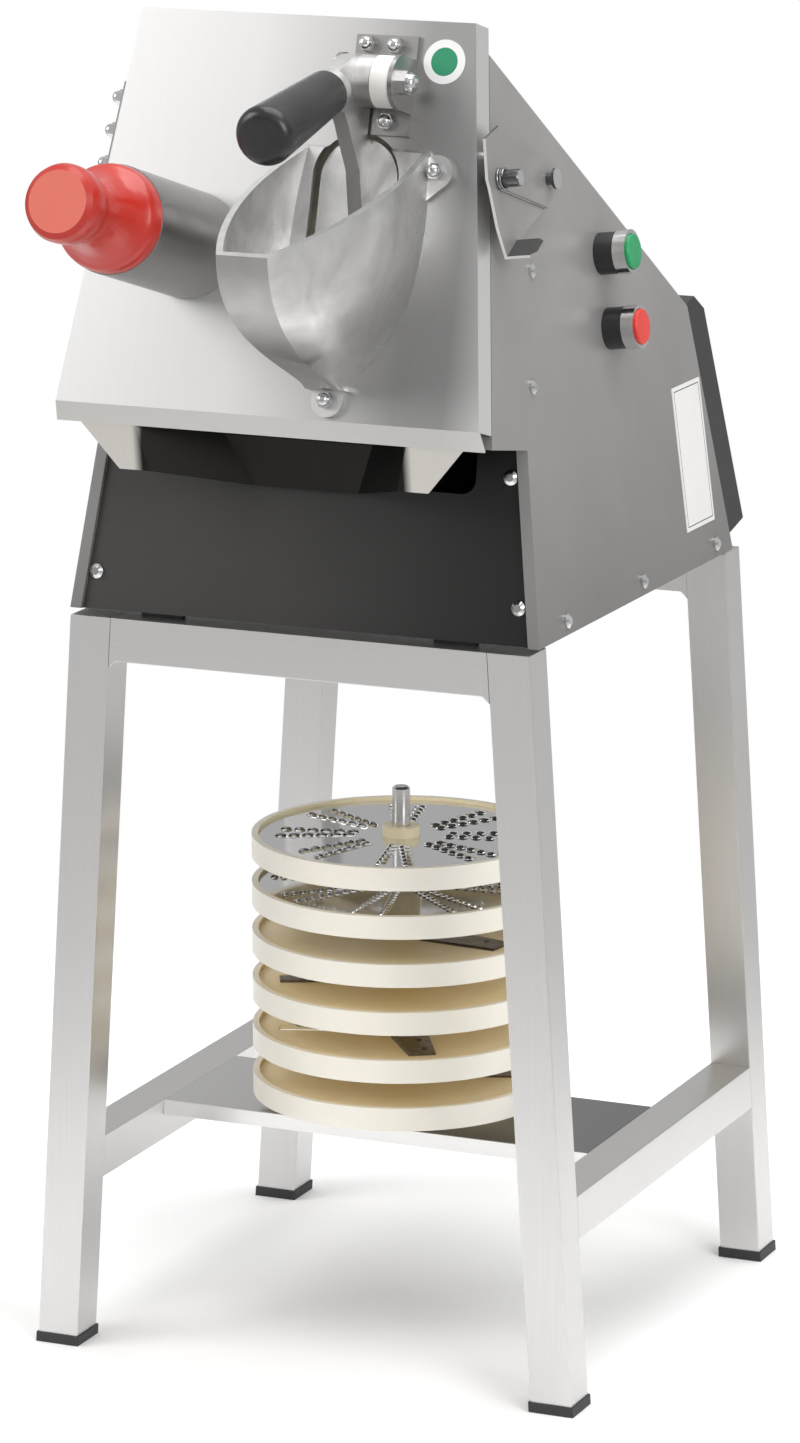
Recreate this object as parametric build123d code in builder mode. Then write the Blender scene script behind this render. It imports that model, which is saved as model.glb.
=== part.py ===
from build123d import *

import os
from math import atan, cos, degrees, hypot, pi, radians, sin, tan

# Vegetable cutting machine on a stand of square tube, in millimetres.
# X runs to the machine's right, the feeding front faces -Y and Z is up.
# The origin is on the floor, in the middle of the overall width and depth.

# Stand
stand_y = 95.5
tube = 30.0
tube_wall = 1.5
stand_height = 519.0
stand_top_width = 334.0
stand_foot_width = 400.0
stand_depth = 392.0
stretcher_top = 145.0
weld = 5.0
cap_height = 7.0
cap_floor = 3.0
cap_lip = 1.2

# Shelf and disc spindle
shelf_depth = 120.0
shelf_y = -12.5
shelf_sheet = 1.5
shelf_flange = 11.0
spindle_y = -22.0
spindle_radius = 6.2
spindle_height = 232.0
spindle_foot_radius = 11.0
spindle_foot_height = 3.0

# Body of folded sheet
sheet = 1.5
spacer = 3.0
spacer_width = 6.0
base_lap = 3.9
body_half_width = 171.0
side_taper = 0.1285
front_bottom_y = -188.0
front_lean = 8.3
front_height = 128.0
overhang_v = -9.0
slope_top_v = 246.0
slope_end_y = 137.0
slope_end_rise = 177.0
rear_bottom_y = 172.0
side_flange = 12.0
front_strip = 8.0
panel_step = 3.5
panel_ledge = 16.0
front_screw_inset = 14.0
front_screw_low = 25.0
front_screw_high = 109.0
cutout_depth = 32.0
cutout_half_width = 118.0
cutout_corner = 10.0
through = 30.0

# Door, measured on its own leaning plane from the middle of its lower edge
door_y = -243.9
door_rise = 152.2
door_tilt = 15.82
door_length = 263.0
door_depth = 20.0
door_gap = 1.0
band_drop = 12.0
band_depth = 9.0

# Feed tube and pusher
tube_u = -66.1
tube_v = 108.3
feed_radius = 35.8
feed_wall = 1.5
feed_length = 118.3
feed_tail = 3.0
pusher_gap = 1.3
pusher_tail = 2.0
knob_radius = 25.3
knob_end = 199.0
flange_radius = 35.0

# Hopper and its opening in the door
hopper_u = 48.0
opening_radius = 30.5
opening_top_v = 158.0
opening_low_v = 88.0
hopper_wall = 4.5
hopper_flange = 4.0
rim_v = 179.0
rim_fall = 0.565
bow_side = 0.93
bow_reach = 0.54
lug_radius = 11.0
lug_thickness = 4.0
lug_low_v = 13.0

# Lever with its presser
lever_v = 219.0
lever_h = 22.0
hub_radius = 17.0
bolt_radius = 5.0
running_fit = 0.05
side_play = 0.3
ear_thickness = 3.0
ear_left_u = 38.0
ear_right_u = 78.5
bush_length = 12.9
bracket_low_v = 187.0
bracket_high_v = 252.0
rib_left_u = 44.0
rib_right_u = 54.0
presser_gap = 3.5
presser_thickness = 6.0
presser_recess = 2.0
grip_near_v = 203.4
grip_near_h = 67.0
grip_far_v = 160.0
grip_far_h = 157.8
grip_near_radius = 15.0
grip_far_radius = 20.0
grip_u = 49.0
grip_rounding = 8.0

# Door hinge, latch and catch
hinge_v = 159.0
hinge_length = 110.0
hinge_knuckle = 4.5
hinge_lift = 0.5
hinge_pin_radius = 2.5
hinge_leaf = 2.5
hinge_pitch = 22.2
hinge_nuts = 5
knuckle_count = 5
latch_y = -110.0
latch_s = 298.7
latch_offset = 9.0
latch_sheet = 2.0
latch_tab = 22.0
latch_corner = 4.0
latch_swing = 12.0
spring_end_y = -118.0
spring_end_s = 287.0
wire_radius = 0.8
spring_turns = 2.2
latch_post_radius = 4.0
latch_head_radius = 7.0
latch_head_end = 18.0
stud_y = -189.0
stud_s = 309.0
stud_radius = 5.7
stud_end = 26.0
hook_radius = 3.0
hook_end = 1.5
keeper_radius = 3.0
keeper_gap = 0.6
keeper_length = 6.0

# Push buttons
button_y = -7.9
start_s = 235.6
stop_s = 184.7
button_radius = 15.0
collar_length = 14.0
bezel_length = 9.0
cap_radius = 12.0
cap_proud = 2.0
cap_play = 0.3
button_seat = 2.0

# Cutting chamber, shaft and drive, measured back from the door's face
disc_v = 120.0
disc_radius = 104.0
disc_rim = 16.0
disc_wall = 4.5
disc_hub_radius = 13.0
disc_pitch = 34.0
plate_recess = 2.5
plate_sheet = 1.2
web_sheet = 3.0
web_arms = 4
blade_sheet = 1.6
blade_length = 62.0
blade_width = 24.0
blade_reach = 54.0
blade_near_angle = 80.0
blade_far_angle = 70.0
slot_width = 12.0
working_turn = 250.0
slicer_turns = [(20, blade_length, blade_width), (200, 50, 18), (75, blade_length, 16), (130, 46, 30)]
grater_turns = [(15, 4.0), (30, 6.0)]
grater_rings = [(0.36, 8), (0.6, 12), (0.84, 16)]
stack_first = 13.6
bore_play = 0.4
disc_nut_height = 4.0
disc_front = 11.0
chamber_gap = 2.0
chamber_depth = 50.0
chamber_wall = 2.0
housing_plate = 4.0
outlet_half = 78.0
outlet_v = -4.0
shaft_radius = 8.0
ejector_sheet = 4.0
ejector_vane = 9.0
boss_wall = 6.0
boss_end = 108.0
bearing_radius = 20.0
bearing_width = 12.0
bearing_near = 64.0
bearing_far = 100.0
pulley_plane = 126.0
pulley_width = 14.0
shaft_pulley_radius = 58.0
motor_pulley_radius = 29.0
motor_v = 0.0
motor_radius = 60.0
motor_length = 165.0
motor_foot = 90.0
motor_gap = 8.0
belt_thickness = 6.0
belt_width = 9.0
belt_play = 0.3

# Discharge chute: each pair is its upper and its lower edge
chute_top_v = -9.0
chute_low_v = -40.0
chute_front = (10.5, 24.0)
chute_back = (60.0, 80.0)
chute_half = (100.0, 91.0)
tab_half = (139.6, 111.0)
chute_slant = 0.93
chute_corner = 1.4

# Rear cover and mains inlet
cover_depth = 34.0
cover_inset = 2.0
cover_low = 10.0
cover_chamfer = 14.0
cover_wall = 2.5
inlet_u = 112.0
inlet_s = 78.0
inlet_radius = 33.0
inlet_length = 16.0
lid_thickness = 9.0
lid_eye = 4.0
lid_pin_radius = 1.6
eye_half = 8.0
lug_half = 14.0

# Screws and acorn nuts
screw_radius = 5.0
screw_head = 3.4
screw_shank = 2.6
screw_length = 7.0
hole_play = 0.25
nut_radius = 5.6
nut_height = 5.0
dome_radius = 4.2

os.makedirs("parts", exist_ok=True)


def save(piece, name):
    piece.part.label = name
    export_step(piece.part, f"parts/{name}.step")


# Shared planes

side_lean = degrees(atan(side_taper))
body_z = stand_height + spacer


def half_width(z):
    return body_half_width - side_taper * (z - body_z)


lean_cos = cos(radians(side_lean))
lean_sin = sin(radians(side_lean))
tilt_cos = cos(radians(door_tilt))
tilt_sin = sin(radians(door_tilt))

right_side = Plane(
    origin=(body_half_width, stand_y, body_z), x_dir=(0, 1, 0), z_dir=(lean_cos, 0, lean_sin)
)
left_side = Plane(
    origin=(-body_half_width, stand_y, body_z), x_dir=(0, -1, 0), z_dir=(-lean_cos, 0, lean_sin)
)
door_face = Plane(
    origin=(0, stand_y + door_y, body_z + door_rise), x_dir=(1, 0, 0), z_dir=(0, -tilt_cos, tilt_sin)
)


def on_door(u, v, h):
    return door_face.origin + door_face.x_dir * u + door_face.y_dir * v + door_face.z_dir * h


def door_plane_at(u, v, h):
    return Plane(origin=on_door(u, v, h), x_dir=door_face.x_dir, z_dir=door_face.z_dir)


def on_side(y, s, h):
    return right_side.origin + right_side.x_dir * y + right_side.y_dir * s + right_side.z_dir * h


def side_plane_at(y, s, h):
    return Plane(origin=on_side(y, s, h), x_dir=right_side.x_dir, z_dir=right_side.z_dir)


def side_profile_plane(u):
    """A plane across the machine at X = u, with local x out of the door and local y up it."""
    return Plane(origin=on_door(u, 0, 0), x_dir=door_face.z_dir, z_dir=(-1, 0, 0))


def drill(places, radius, depth):
    """Round holes through the part being built, centred on each place."""
    with Locations(*places):
        Cylinder(radius, depth, mode=Mode.SUBTRACT)


# Stand of welded square tube

splay = (stand_foot_width - stand_top_width) / 2 / stand_height
splay_cos = cos(atan(splay))
leg_run = tube / splay_cos
leg_wall = tube_wall / splay_cos
front_leg_y = stand_y - stand_depth / 2 + tube / 2
rear_leg_y = stand_y + stand_depth / 2 - tube / 2


def leg_outer(z):
    return stand_foot_width / 2 - splay * z


def leg_strip(low, high, outer, inner):
    """Corners of a strip of the right leg between two heights, measured in from its outer face."""
    return [
        (leg_outer(low) - outer, low),
        (leg_outer(high) - outer, high),
        (leg_outer(high) - inner, high),
        (leg_outer(low) - inner, low),
    ]


def facing_front(y):
    return Plane(origin=(0, y, 0), x_dir=(1, 0, 0), z_dir=(0, -1, 0))


with BuildPart() as legs:
    for leg_y in (front_leg_y, rear_leg_y):
        with BuildSketch(facing_front(leg_y)):
            Polygon(*leg_strip(cap_floor, stand_height, 0, leg_run), align=None)
        extrude(amount=tube / 2, both=True)
        with BuildSketch(facing_front(leg_y)):
            Polygon(*leg_strip(cap_floor, stand_height - tube_wall, leg_wall, leg_run - leg_wall), align=None)
        extrude(amount=tube / 2 - tube_wall, both=True, mode=Mode.SUBTRACT)
    mirror(about=Plane.YZ)
save(legs, "stand_legs")

rail_low = stand_height - tube
half_low = leg_outer(rail_low) - leg_run
half_high = leg_outer(stand_height) - leg_run
stretcher_half = stand_depth / 2 - tube
with BuildPart() as rails:
    for rail_y in (front_leg_y, rear_leg_y):
        with BuildSketch(facing_front(rail_y)):
            Polygon(
                (-half_low, rail_low),
                (half_low, rail_low),
                (half_high, stand_height),
                (-half_high, stand_height),
                align=None,
            )
            for hand in (-1, 1):
                Polygon(
                    (hand * half_low, rail_low),
                    (hand * (half_low + splay * weld), rail_low - weld),
                    (hand * (half_low - weld), rail_low),
                    align=None,
                )
        extrude(amount=tube / 2, both=True)
        with BuildSketch(Plane(origin=(0, rail_y, rail_low + tube / 2), x_dir=(0, 1, 0), z_dir=(1, 0, 0))):
            Rectangle(tube - 2 * tube_wall, tube - 2 * tube_wall)
        extrude(amount=half_low, both=True, mode=Mode.SUBTRACT)
    with BuildSketch(facing_front(stand_y)):
        Polygon(*leg_strip(stretcher_top - tube, stretcher_top, 0, leg_run), align=None)
        Polygon(
            *leg_strip(
                stretcher_top - tube + tube_wall, stretcher_top - tube_wall, leg_wall, leg_run - leg_wall
            ),
            align=None,
            mode=Mode.SUBTRACT,
        )
    extrude(amount=stretcher_half, both=True)
    mirror(about=Plane.YZ)
save(rails, "stand_rails")

# Black rubber caps under the legs

with BuildPart() as caps:
    for leg_y in (front_leg_y, rear_leg_y):
        with BuildSketch(facing_front(leg_y)):
            Polygon(*leg_strip(0, cap_height, -cap_lip, leg_run + cap_lip), align=None)
        extrude(amount=tube / 2 + cap_lip, both=True)
        with BuildSketch(facing_front(leg_y)):
            Polygon(*leg_strip(cap_floor, cap_height, 0, leg_run), align=None)
        extrude(amount=tube / 2, both=True, mode=Mode.SUBTRACT)
    mirror(about=Plane.YZ)
save(caps, "foot_caps")

# Shelf between the stretchers, folded down in front and behind

shelf_centre = stand_y + shelf_y
shelf_low = stretcher_top - shelf_flange


def shelf_half(z):
    return leg_outer(z) - leg_run


with BuildPart() as shelf:
    with BuildSketch(facing_front(shelf_centre)):
        Polygon(
            (-shelf_half(shelf_low), shelf_low),
            (shelf_half(shelf_low), shelf_low),
            (shelf_half(stretcher_top), stretcher_top),
            (-shelf_half(stretcher_top), stretcher_top),
            align=None,
        )
    extrude(amount=shelf_depth / 2, both=True)
    with BuildSketch(Plane(origin=(0, shelf_centre, shelf_low), x_dir=(0, 1, 0), z_dir=(1, 0, 0))):
        Rectangle(
            shelf_depth - 2 * shelf_sheet, shelf_flange - shelf_sheet, align=(Align.CENTER, Align.MIN)
        )
    extrude(amount=stand_foot_width / 2, both=True, mode=Mode.SUBTRACT)
    drill([Location((0, stand_y + spindle_y, stretcher_top))], spindle_radius, through)
save(shelf, "shelf_plate")

# Spindle for the spare discs, with its nut below the shelf

spindle_foot = stretcher_top - shelf_sheet - spindle_foot_height
with BuildPart() as spindle:
    with Locations((0, stand_y + spindle_y, spindle_foot)):
        Cylinder(
            spindle_radius,
            stretcher_top + spindle_height - spindle_foot,
            align=(Align.CENTER, Align.CENTER, Align.MIN),
        )
        Cylinder(
            spindle_foot_radius, spindle_foot_height, align=(Align.CENTER, Align.CENTER, Align.MIN)
        )
    chamfer(spindle.faces().sort_by(Axis.Z)[-1].edges(), spindle_radius / 4)
save(spindle, "disc_spindle")

# Spacers between the stand and the body

with BuildPart() as spacers:
    with BuildSketch(Plane.XY.offset(stand_height)):
        with Locations((0, stand_y + front_bottom_y + 2 * spacer_width)):
            with GridLocations(2 * (half_high - tube), 0, 2, 1):
                Rectangle(tube, spacer_width)
        with Locations((0, rear_leg_y - tube / 2)):
            with GridLocations(2 * (half_high - tube), 0, 2, 1):
                Rectangle(tube, base_lap, align=(Align.CENTER, Align.MIN))
    extrude(amount=spacer)
save(spacers, "body_spacers")


# Outline of the body seen from the side, as (Y, Z)


def door_yz(v, h):
    place = on_door(0, v, h)
    return (place.Y, place.Z)


front_depth = door_depth + door_gap
front_bottom = (stand_y + front_bottom_y, body_z)
front_top = (stand_y + front_bottom_y + front_height * tan(radians(front_lean)), body_z + front_height)
overhang = door_yz(overhang_v, -front_depth)
slope_top = door_yz(slope_top_v, -front_depth)
slope_end = (stand_y + slope_end_y, body_z + slope_end_rise)
rear_bottom = (stand_y + rear_bottom_y, body_z)
body_outline = [front_bottom, front_top, overhang, slope_top, slope_end, rear_bottom]


def strip(start, end, near, far):
    """Corners of a strip along an edge of the outline, between two depths behind it."""
    run = hypot(end[0] - start[0], end[1] - start[1])
    back_y = (end[1] - start[1]) / run
    back_z = -(end[0] - start[0]) / run
    return [
        (start[0] + back_y * near, start[1] + back_z * near),
        (end[0] + back_y * near, end[1] + back_z * near),
        (end[0] + back_y * far, end[1] + back_z * far),
        (start[0] + back_y * far, start[1] + back_z * far),
    ]


def between_sides(outline, inset=0.0, shrink=0.0):
    """A block of a (Y, Z) outline, ended by both leaning side planes less an inset."""
    with BuildPart() as block:
        with BuildSketch(Plane.YZ):
            Polygon(*outline, align=None)
            if shrink:
                offset(amount=-shrink, kind=Kind.INTERSECTION)
        extrude(amount=body_half_width + through, both=True)
        split(bisect_by=right_side.offset(-inset), keep=Keep.BOTTOM)
        split(bisect_by=left_side.offset(-inset), keep=Keep.BOTTOM)
    return block.part


# Places of the screws

side_screws = [
    (-129.4, 241.4),
    (-150.1, 167.8),
    (-137.8, 9.5),
    (0.6, 9.5),
    (140.2, 9.5),
]
right_screw_places = [side_plane_at(y, s, 0) for y, s in side_screws]


def mirrored(place):
    """The same plane on the left half of the machine."""
    return Plane(
        origin=(-place.origin.X, place.origin.Y, place.origin.Z),
        x_dir=(-place.x_dir.X, place.x_dir.Y, place.x_dir.Z),
        z_dir=(-place.z_dir.X, place.z_dir.Y, place.z_dir.Z),
    )


left_screw_places = [mirrored(place) for place in right_screw_places]


def front_panel_place(x_inset, up, depth):
    """A place on the lower front panel, measured in from the right side and up from the bottom."""
    lean = radians(front_lean)
    y = front_bottom[0] + up * tan(lean) + depth / cos(lean)
    return Plane(
        origin=(half_width(body_z + up) - x_inset, y, body_z + up),
        x_dir=(1, 0, 0),
        z_dir=(0, -cos(lean), sin(lean)),
    )


front_screw_places = [
    front_panel_place(front_screw_inset, up, panel_step) for up in (front_screw_low, front_screw_high)
]
front_screw_places += [mirrored(place) for place in front_screw_places]

hole_radius = screw_shank + hole_play

# Side panels, folded in all round, with a joggled ledge for the lower front panel

ledge_back = panel_step + 2 * sheet
base_rear = rear_leg_y - tube / 2 + base_lap
bottom_gap = [
    (front_bottom[0] + sheet, body_z - sheet),
    (base_rear, body_z - sheet),
    (base_rear, body_z + sheet),
    (front_bottom[0] + sheet, body_z + sheet),
]
with BuildPart() as sides:
    add(between_sides(body_outline))
    add(between_sides(body_outline, sheet, sheet), mode=Mode.SUBTRACT)
    add(between_sides(body_outline, front_strip), mode=Mode.SUBTRACT)
    add(between_sides(bottom_gap, sheet), mode=Mode.SUBTRACT)
    add(between_sides(strip(front_bottom, front_top, sheet, ledge_back), front_strip - sheet))
    add(
        between_sides(strip(front_bottom, front_top, sheet, ledge_back), front_strip),
        mode=Mode.SUBTRACT,
    )
    add(
        between_sides(
            strip(front_bottom, front_top, panel_step + sheet, ledge_back), front_strip - sheet
        )
    )
    add(
        between_sides(
            strip(front_bottom, front_top, panel_step + sheet, ledge_back), front_strip + panel_ledge
        ),
        mode=Mode.SUBTRACT,
    )
    drill(right_screw_places + left_screw_places, hole_radius, through)
    drill(front_screw_places, hole_radius, through)
    with Locations(*[side_plane_at(button_y, s, 0) for s in (start_s, stop_s)]):
        Cylinder(cap_radius + cap_play, through / 2, mode=Mode.SUBTRACT)
    drill([side_plane_at(latch_y, latch_s, 0)], latch_post_radius, through / 2)

with BuildPart() as right_panel:
    add(sides.part)
    split(bisect_by=Plane.YZ, keep=Keep.TOP)
save(right_panel, "right_side_panel")

with BuildPart() as left_panel:
    add(sides.part)
    split(bisect_by=Plane.YZ, keep=Keep.BOTTOM)
save(left_panel, "left_side_panel")

# Lower front panel, cut out at the top for the discharge chute

with BuildPart() as front_panel:
    add(between_sides(strip(front_bottom, front_top, panel_step, panel_step + sheet), front_strip))
    with BuildSketch(front_panel_place(half_width(body_z + front_height), front_height, 0)):
        RectangleRounded(2 * cutout_half_width, 2 * cutout_depth, cutout_corner)
    extrude(amount=through, both=True, mode=Mode.SUBTRACT)
    split(bisect_by=Plane.XY.offset(body_z), keep=Keep.TOP)
    drill(front_screw_places, hole_radius, through)
save(front_panel, "lower_front_panel")

# Sloping cover and rear panel, seated inside the folded edges of the sides

with BuildPart() as cover:
    add(between_sides(strip(slope_top, slope_end, sheet, 2 * sheet), sheet))
    add(between_sides(body_outline, 0, sheet), mode=Mode.INTERSECT)
    split(
        bisect_by=Plane(
            origin=(0, *door_yz(slope_top_v, -front_depth - sheet - housing_plate)),
            x_dir=(1, 0, 0),
            z_dir=door_face.z_dir,
        ),
        keep=Keep.BOTTOM,
    )
save(cover, "sloping_cover")

with BuildPart() as rear_panel:
    add(between_sides(strip(slope_end, rear_bottom, sheet, 2 * sheet), sheet))
    add(between_sides(body_outline, 0, sheet), mode=Mode.INTERSECT)
    add(between_sides(strip(slope_top, slope_end, 0, 2 * sheet), 0), mode=Mode.SUBTRACT)
    split(bisect_by=Plane.XY.offset(body_z + sheet), keep=Keep.TOP)
save(rear_panel, "rear_panel")

# Base plate, folded up along both sides

base_front = stand_y + front_bottom_y + 3 * panel_step
base_outline = [
    (base_front - sheet, body_z),
    (base_rear, body_z),
    (base_rear, body_z + sheet),
    (base_rear - side_flange, body_z + sheet),
    (base_rear - side_flange, body_z + 2 * side_flange),
    (base_front + sheet, body_z + 2 * side_flange),
]
base_hollow = [
    (base_front - tube, body_z + sheet),
    (base_rear + tube, body_z + sheet),
    (base_rear + tube, body_z + 3 * side_flange),
    (base_front - tube, body_z + 3 * side_flange),
]
with BuildPart() as base:
    add(between_sides(base_outline, sheet))
    add(between_sides(base_hollow, 2 * sheet), mode=Mode.SUBTRACT)
    drill(right_screw_places + left_screw_places, hole_radius, through)
save(base, "base_plate")

# Chamber housing: a front plate with folded sides, the disc cup, its outlet and the bearing boss

cup_inner = disc_radius + chamber_gap
cup_outer = cup_inner + chamber_wall
housing_face = front_depth + sheet
cup_floor = chamber_depth + chamber_wall
housing_outline = [
    door_yz(overhang_v + 2 * sheet, -housing_face),
    door_yz(slope_top_v - 2 * sheet, -housing_face),
    door_yz(slope_top_v - 2 * sheet - housing_plate / 2, -housing_face - housing_plate),
    door_yz(overhang_v + 2 * sheet, -housing_face - housing_plate),
]
flange_outline = [
    door_yz(outlet_v + tube, -housing_face),
    door_yz(slope_top_v - tube, -housing_face),
    door_yz(slope_top_v - tube, -housing_face - tube),
    door_yz(outlet_v + tube, -housing_face - tube),
]
with BuildPart() as housing:
    add(between_sides(housing_outline, sheet))
    add(between_sides(flange_outline, sheet))
    add(
        between_sides(
            [
                door_yz(outlet_v, -housing_face - housing_plate),
                door_yz(slope_top_v, -housing_face - housing_plate),
                door_yz(slope_top_v, -housing_face - 2 * tube),
                door_yz(outlet_v, -housing_face - 2 * tube),
            ],
            sheet + housing_plate / 2,
        ),
        mode=Mode.SUBTRACT,
    )
    with BuildSketch(door_plane_at(0, disc_v, -housing_face)):
        Circle(cup_outer)
        with Locations((0, (outlet_v - disc_v) / 2)):
            Rectangle(2 * (outlet_half + chamber_wall), disc_v - outlet_v)
    extrude(amount=-(cup_floor - housing_face))
    with BuildSketch(door_plane_at(0, disc_v, -housing_face)):
        Circle(cup_inner)
        with Locations((0, (outlet_v - disc_v) / 2)):
            Rectangle(2 * outlet_half, disc_v - outlet_v + tube)
    extrude(amount=-(chamber_depth - housing_face), mode=Mode.SUBTRACT)
    with BuildSketch(door_plane_at(0, disc_v, -cup_floor)):
        Circle(bearing_radius + boss_wall)
    extrude(amount=-(boss_end - cup_floor))
    with BuildSketch(door_plane_at(0, disc_v, -chamber_depth)):
        Circle(shaft_radius + 1)
    extrude(amount=-(boss_end - chamber_depth), mode=Mode.SUBTRACT)
    for bearing in (bearing_near, bearing_far):
        with BuildSketch(door_plane_at(0, disc_v, -bearing + bearing_width / 2)):
            Circle(bearing_radius)
        extrude(amount=-bearing_width, mode=Mode.SUBTRACT)
    with BuildSketch(door_plane_at(0, disc_v, -bearing_far)):
        Circle(bearing_radius)
    extrude(amount=-(boss_end - bearing_far), mode=Mode.SUBTRACT)
    drill(right_screw_places + left_screw_places, hole_radius, through)
save(housing, "chamber_housing")

# Discharge chute under the door, open downwards and to the front


def chute_corners(level, wall):
    """Corners of the chute's throat as (u, h) at its upper or lower edge, less the wall."""
    near = -chute_front[level]
    far = -chute_back[level] + wall
    wide = chute_half[level] - wall * chute_corner
    narrow = wide - chute_slant * (near - far)
    return [(-wide, near), (wide, near), (narrow, far), (-narrow, far)]


def chute_level(v):
    return Plane(origin=on_door(0, v, 0), x_dir=(1, 0, 0), z_dir=-1 * door_face.y_dir)


with BuildPart() as throat:
    with BuildSketch(chute_level(chute_top_v)):
        Polygon(*chute_corners(0, sheet), align=None)
    with BuildSketch(chute_level(chute_low_v)):
        Polygon(*chute_corners(1, sheet), align=None)
    loft(ruled=True)

with BuildPart() as chute:
    with BuildSketch(chute_level(chute_top_v)):
        Polygon(*chute_corners(0, 0), align=None)
    with BuildSketch(chute_level(chute_low_v)):
        Polygon(*chute_corners(1, 0), align=None)
    loft(ruled=True)
    add(throat.part, mode=Mode.SUBTRACT)
    tab_run = hypot(chute_top_v - chute_low_v, chute_front[1] - chute_front[0])
    tab_plane = Plane(
        origin=on_door(0, chute_top_v, -chute_front[0]),
        x_dir=(1, 0, 0),
        z_dir=(on_door(0, chute_top_v, 0) - on_door(0, chute_low_v, 0))
        .cross(Vector(-1, 0, 0))
        .normalized()
        .rotate(Axis.X, degrees(atan((chute_front[1] - chute_front[0]) / (chute_top_v - chute_low_v)))),
    )
    with BuildSketch(tab_plane):
        for hand in (-1, 1):
            Polygon(
                (hand * (chute_half[0] - 2 * sheet), 0),
                (hand * tab_half[0], 0),
                (hand * tab_half[1], -tab_run),
                (hand * (chute_half[1] - 2 * sheet), -tab_run),
                align=None,
            )
    extrude(amount=-sheet)
    add(throat.part, mode=Mode.SUBTRACT)
save(chute, "discharge_chute")

# Rear cover: a black tray on the back with a round mains inlet

rear_run = hypot(slope_end[0] - rear_bottom[0], slope_end[1] - rear_bottom[1])
rear_up = Vector(0, slope_end[0] - rear_bottom[0], slope_end[1] - rear_bottom[1]).normalized()
rear_out = rear_up.cross(Vector(1, 0, 0))


def rear_point(up, out):
    """A (Y, Z) point measured up the rear edge and out from it."""
    place = Vector(0, rear_bottom[0], rear_bottom[1]) + rear_up * up + rear_out * out
    return (place.Y, place.Z)


def rear_plane(x, up, out):
    y, z = rear_point(up, out)
    return Plane(origin=(x, y, z), x_dir=(-1, 0, 0), z_dir=rear_out)


cover_outline = [
    rear_point(cover_low, 0),
    rear_point(cover_low, cover_depth),
    rear_point(rear_run - cover_chamfer, cover_depth),
    rear_point(rear_run, cover_depth - cover_chamfer),
    rear_point(rear_run, 0),
]
cover_inner = [
    rear_point(cover_low + cover_wall, -cover_wall),
    rear_point(cover_low + cover_wall, cover_depth - cover_wall),
    rear_point(rear_run - cover_chamfer - cover_wall, cover_depth - cover_wall),
    rear_point(rear_run - cover_wall, cover_depth - cover_chamfer - cover_wall),
    rear_point(rear_run - cover_wall, -cover_wall),
]
lid_hinge_up = inlet_s + inlet_radius + lid_eye
lid_hinge_out = cover_depth + inlet_length
lid_hinge = Plane(
    origin=rear_plane(inlet_u, lid_hinge_up, lid_hinge_out).origin, x_dir=rear_up, z_dir=(1, 0, 0)
)
with BuildPart() as tray:
    add(between_sides(cover_outline, cover_inset))
    add(between_sides(cover_inner, cover_inset + cover_wall), mode=Mode.SUBTRACT)
    with BuildSketch(rear_plane(inlet_u, inlet_s, cover_depth - cover_wall)):
        Circle(inlet_radius)
    extrude(amount=inlet_length + cover_wall)
    with BuildSketch(lid_hinge):
        Circle(lid_eye)
        with Locations((-lid_eye, inlet_length / 2)):
            Rectangle(2 * lid_eye + lid_eye, inlet_length)
    extrude(amount=lug_half, both=True)
    with BuildSketch(lid_hinge):
        Rectangle(4 * lid_eye, 3 * lid_eye)
    extrude(amount=eye_half + side_play, both=True, mode=Mode.SUBTRACT)
    with BuildSketch(rear_plane(inlet_u, inlet_s, cover_depth + inlet_length)):
        Circle(inlet_radius - 2 * cover_wall)
    extrude(amount=-(inlet_length + cover_wall), mode=Mode.SUBTRACT)
    with BuildSketch(rear_plane(inlet_u, inlet_s, cover_depth - cover_wall)):
        Circle(inlet_radius)
    extrude(amount=cover_wall)
    with BuildSketch(lid_hinge):
        Circle(lid_pin_radius)
    extrude(amount=lug_half, both=True)
save(tray, "rear_cover")

with BuildPart() as lid:
    with BuildSketch(rear_plane(inlet_u, inlet_s, lid_hinge_out)):
        Circle(inlet_radius)
    extrude(amount=lid_thickness)
    chamfer(
        lid.faces().filter_by(lambda face: face.normal_at().dot(rear_out) > 0.99).edges(),
        lid_thickness / 3,
    )
    with BuildSketch(lid_hinge):
        Circle(lid_eye)
        with Locations((-lid_eye, -lid_eye / 2)):
            Rectangle(2 * lid_eye, lid_eye)
    extrude(amount=eye_half, both=True)
    with BuildSketch(lid_hinge):
        Circle(lid_pin_radius + running_fit)
    extrude(amount=eye_half, both=True, mode=Mode.SUBTRACT)
save(lid, "inlet_lid")

# Motor on the base plate, under the shaft

motor_face = pulley_plane + pulley_width / 2 + motor_gap
with BuildPart() as motor:
    with BuildSketch(door_plane_at(0, motor_v, -motor_face)):
        Circle(motor_radius)
    extrude(amount=-motor_length)
    chamfer(motor.edges().filter_by(GeomType.CIRCLE), sheet)
    for back in (motor_length / 4, motor_length * 3 / 4):
        foot_y, foot_z = door_yz(motor_v, -motor_face - back)
        with BuildSketch(Plane(origin=(0, foot_y, body_z + sheet), x_dir=(1, 0, 0), z_dir=(0, 0, 1))):
            Rectangle(motor_foot, 2 * side_flange)
        extrude(amount=foot_z - body_z - motor_radius / 2)
    with BuildSketch(door_plane_at(0, motor_v, -motor_face)):
        Circle(shaft_radius + 1)
    extrude(amount=-side_flange, mode=Mode.SUBTRACT)
save(motor, "motor")

# Pulleys and belt

belt_seat = belt_thickness - belt_play


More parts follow.
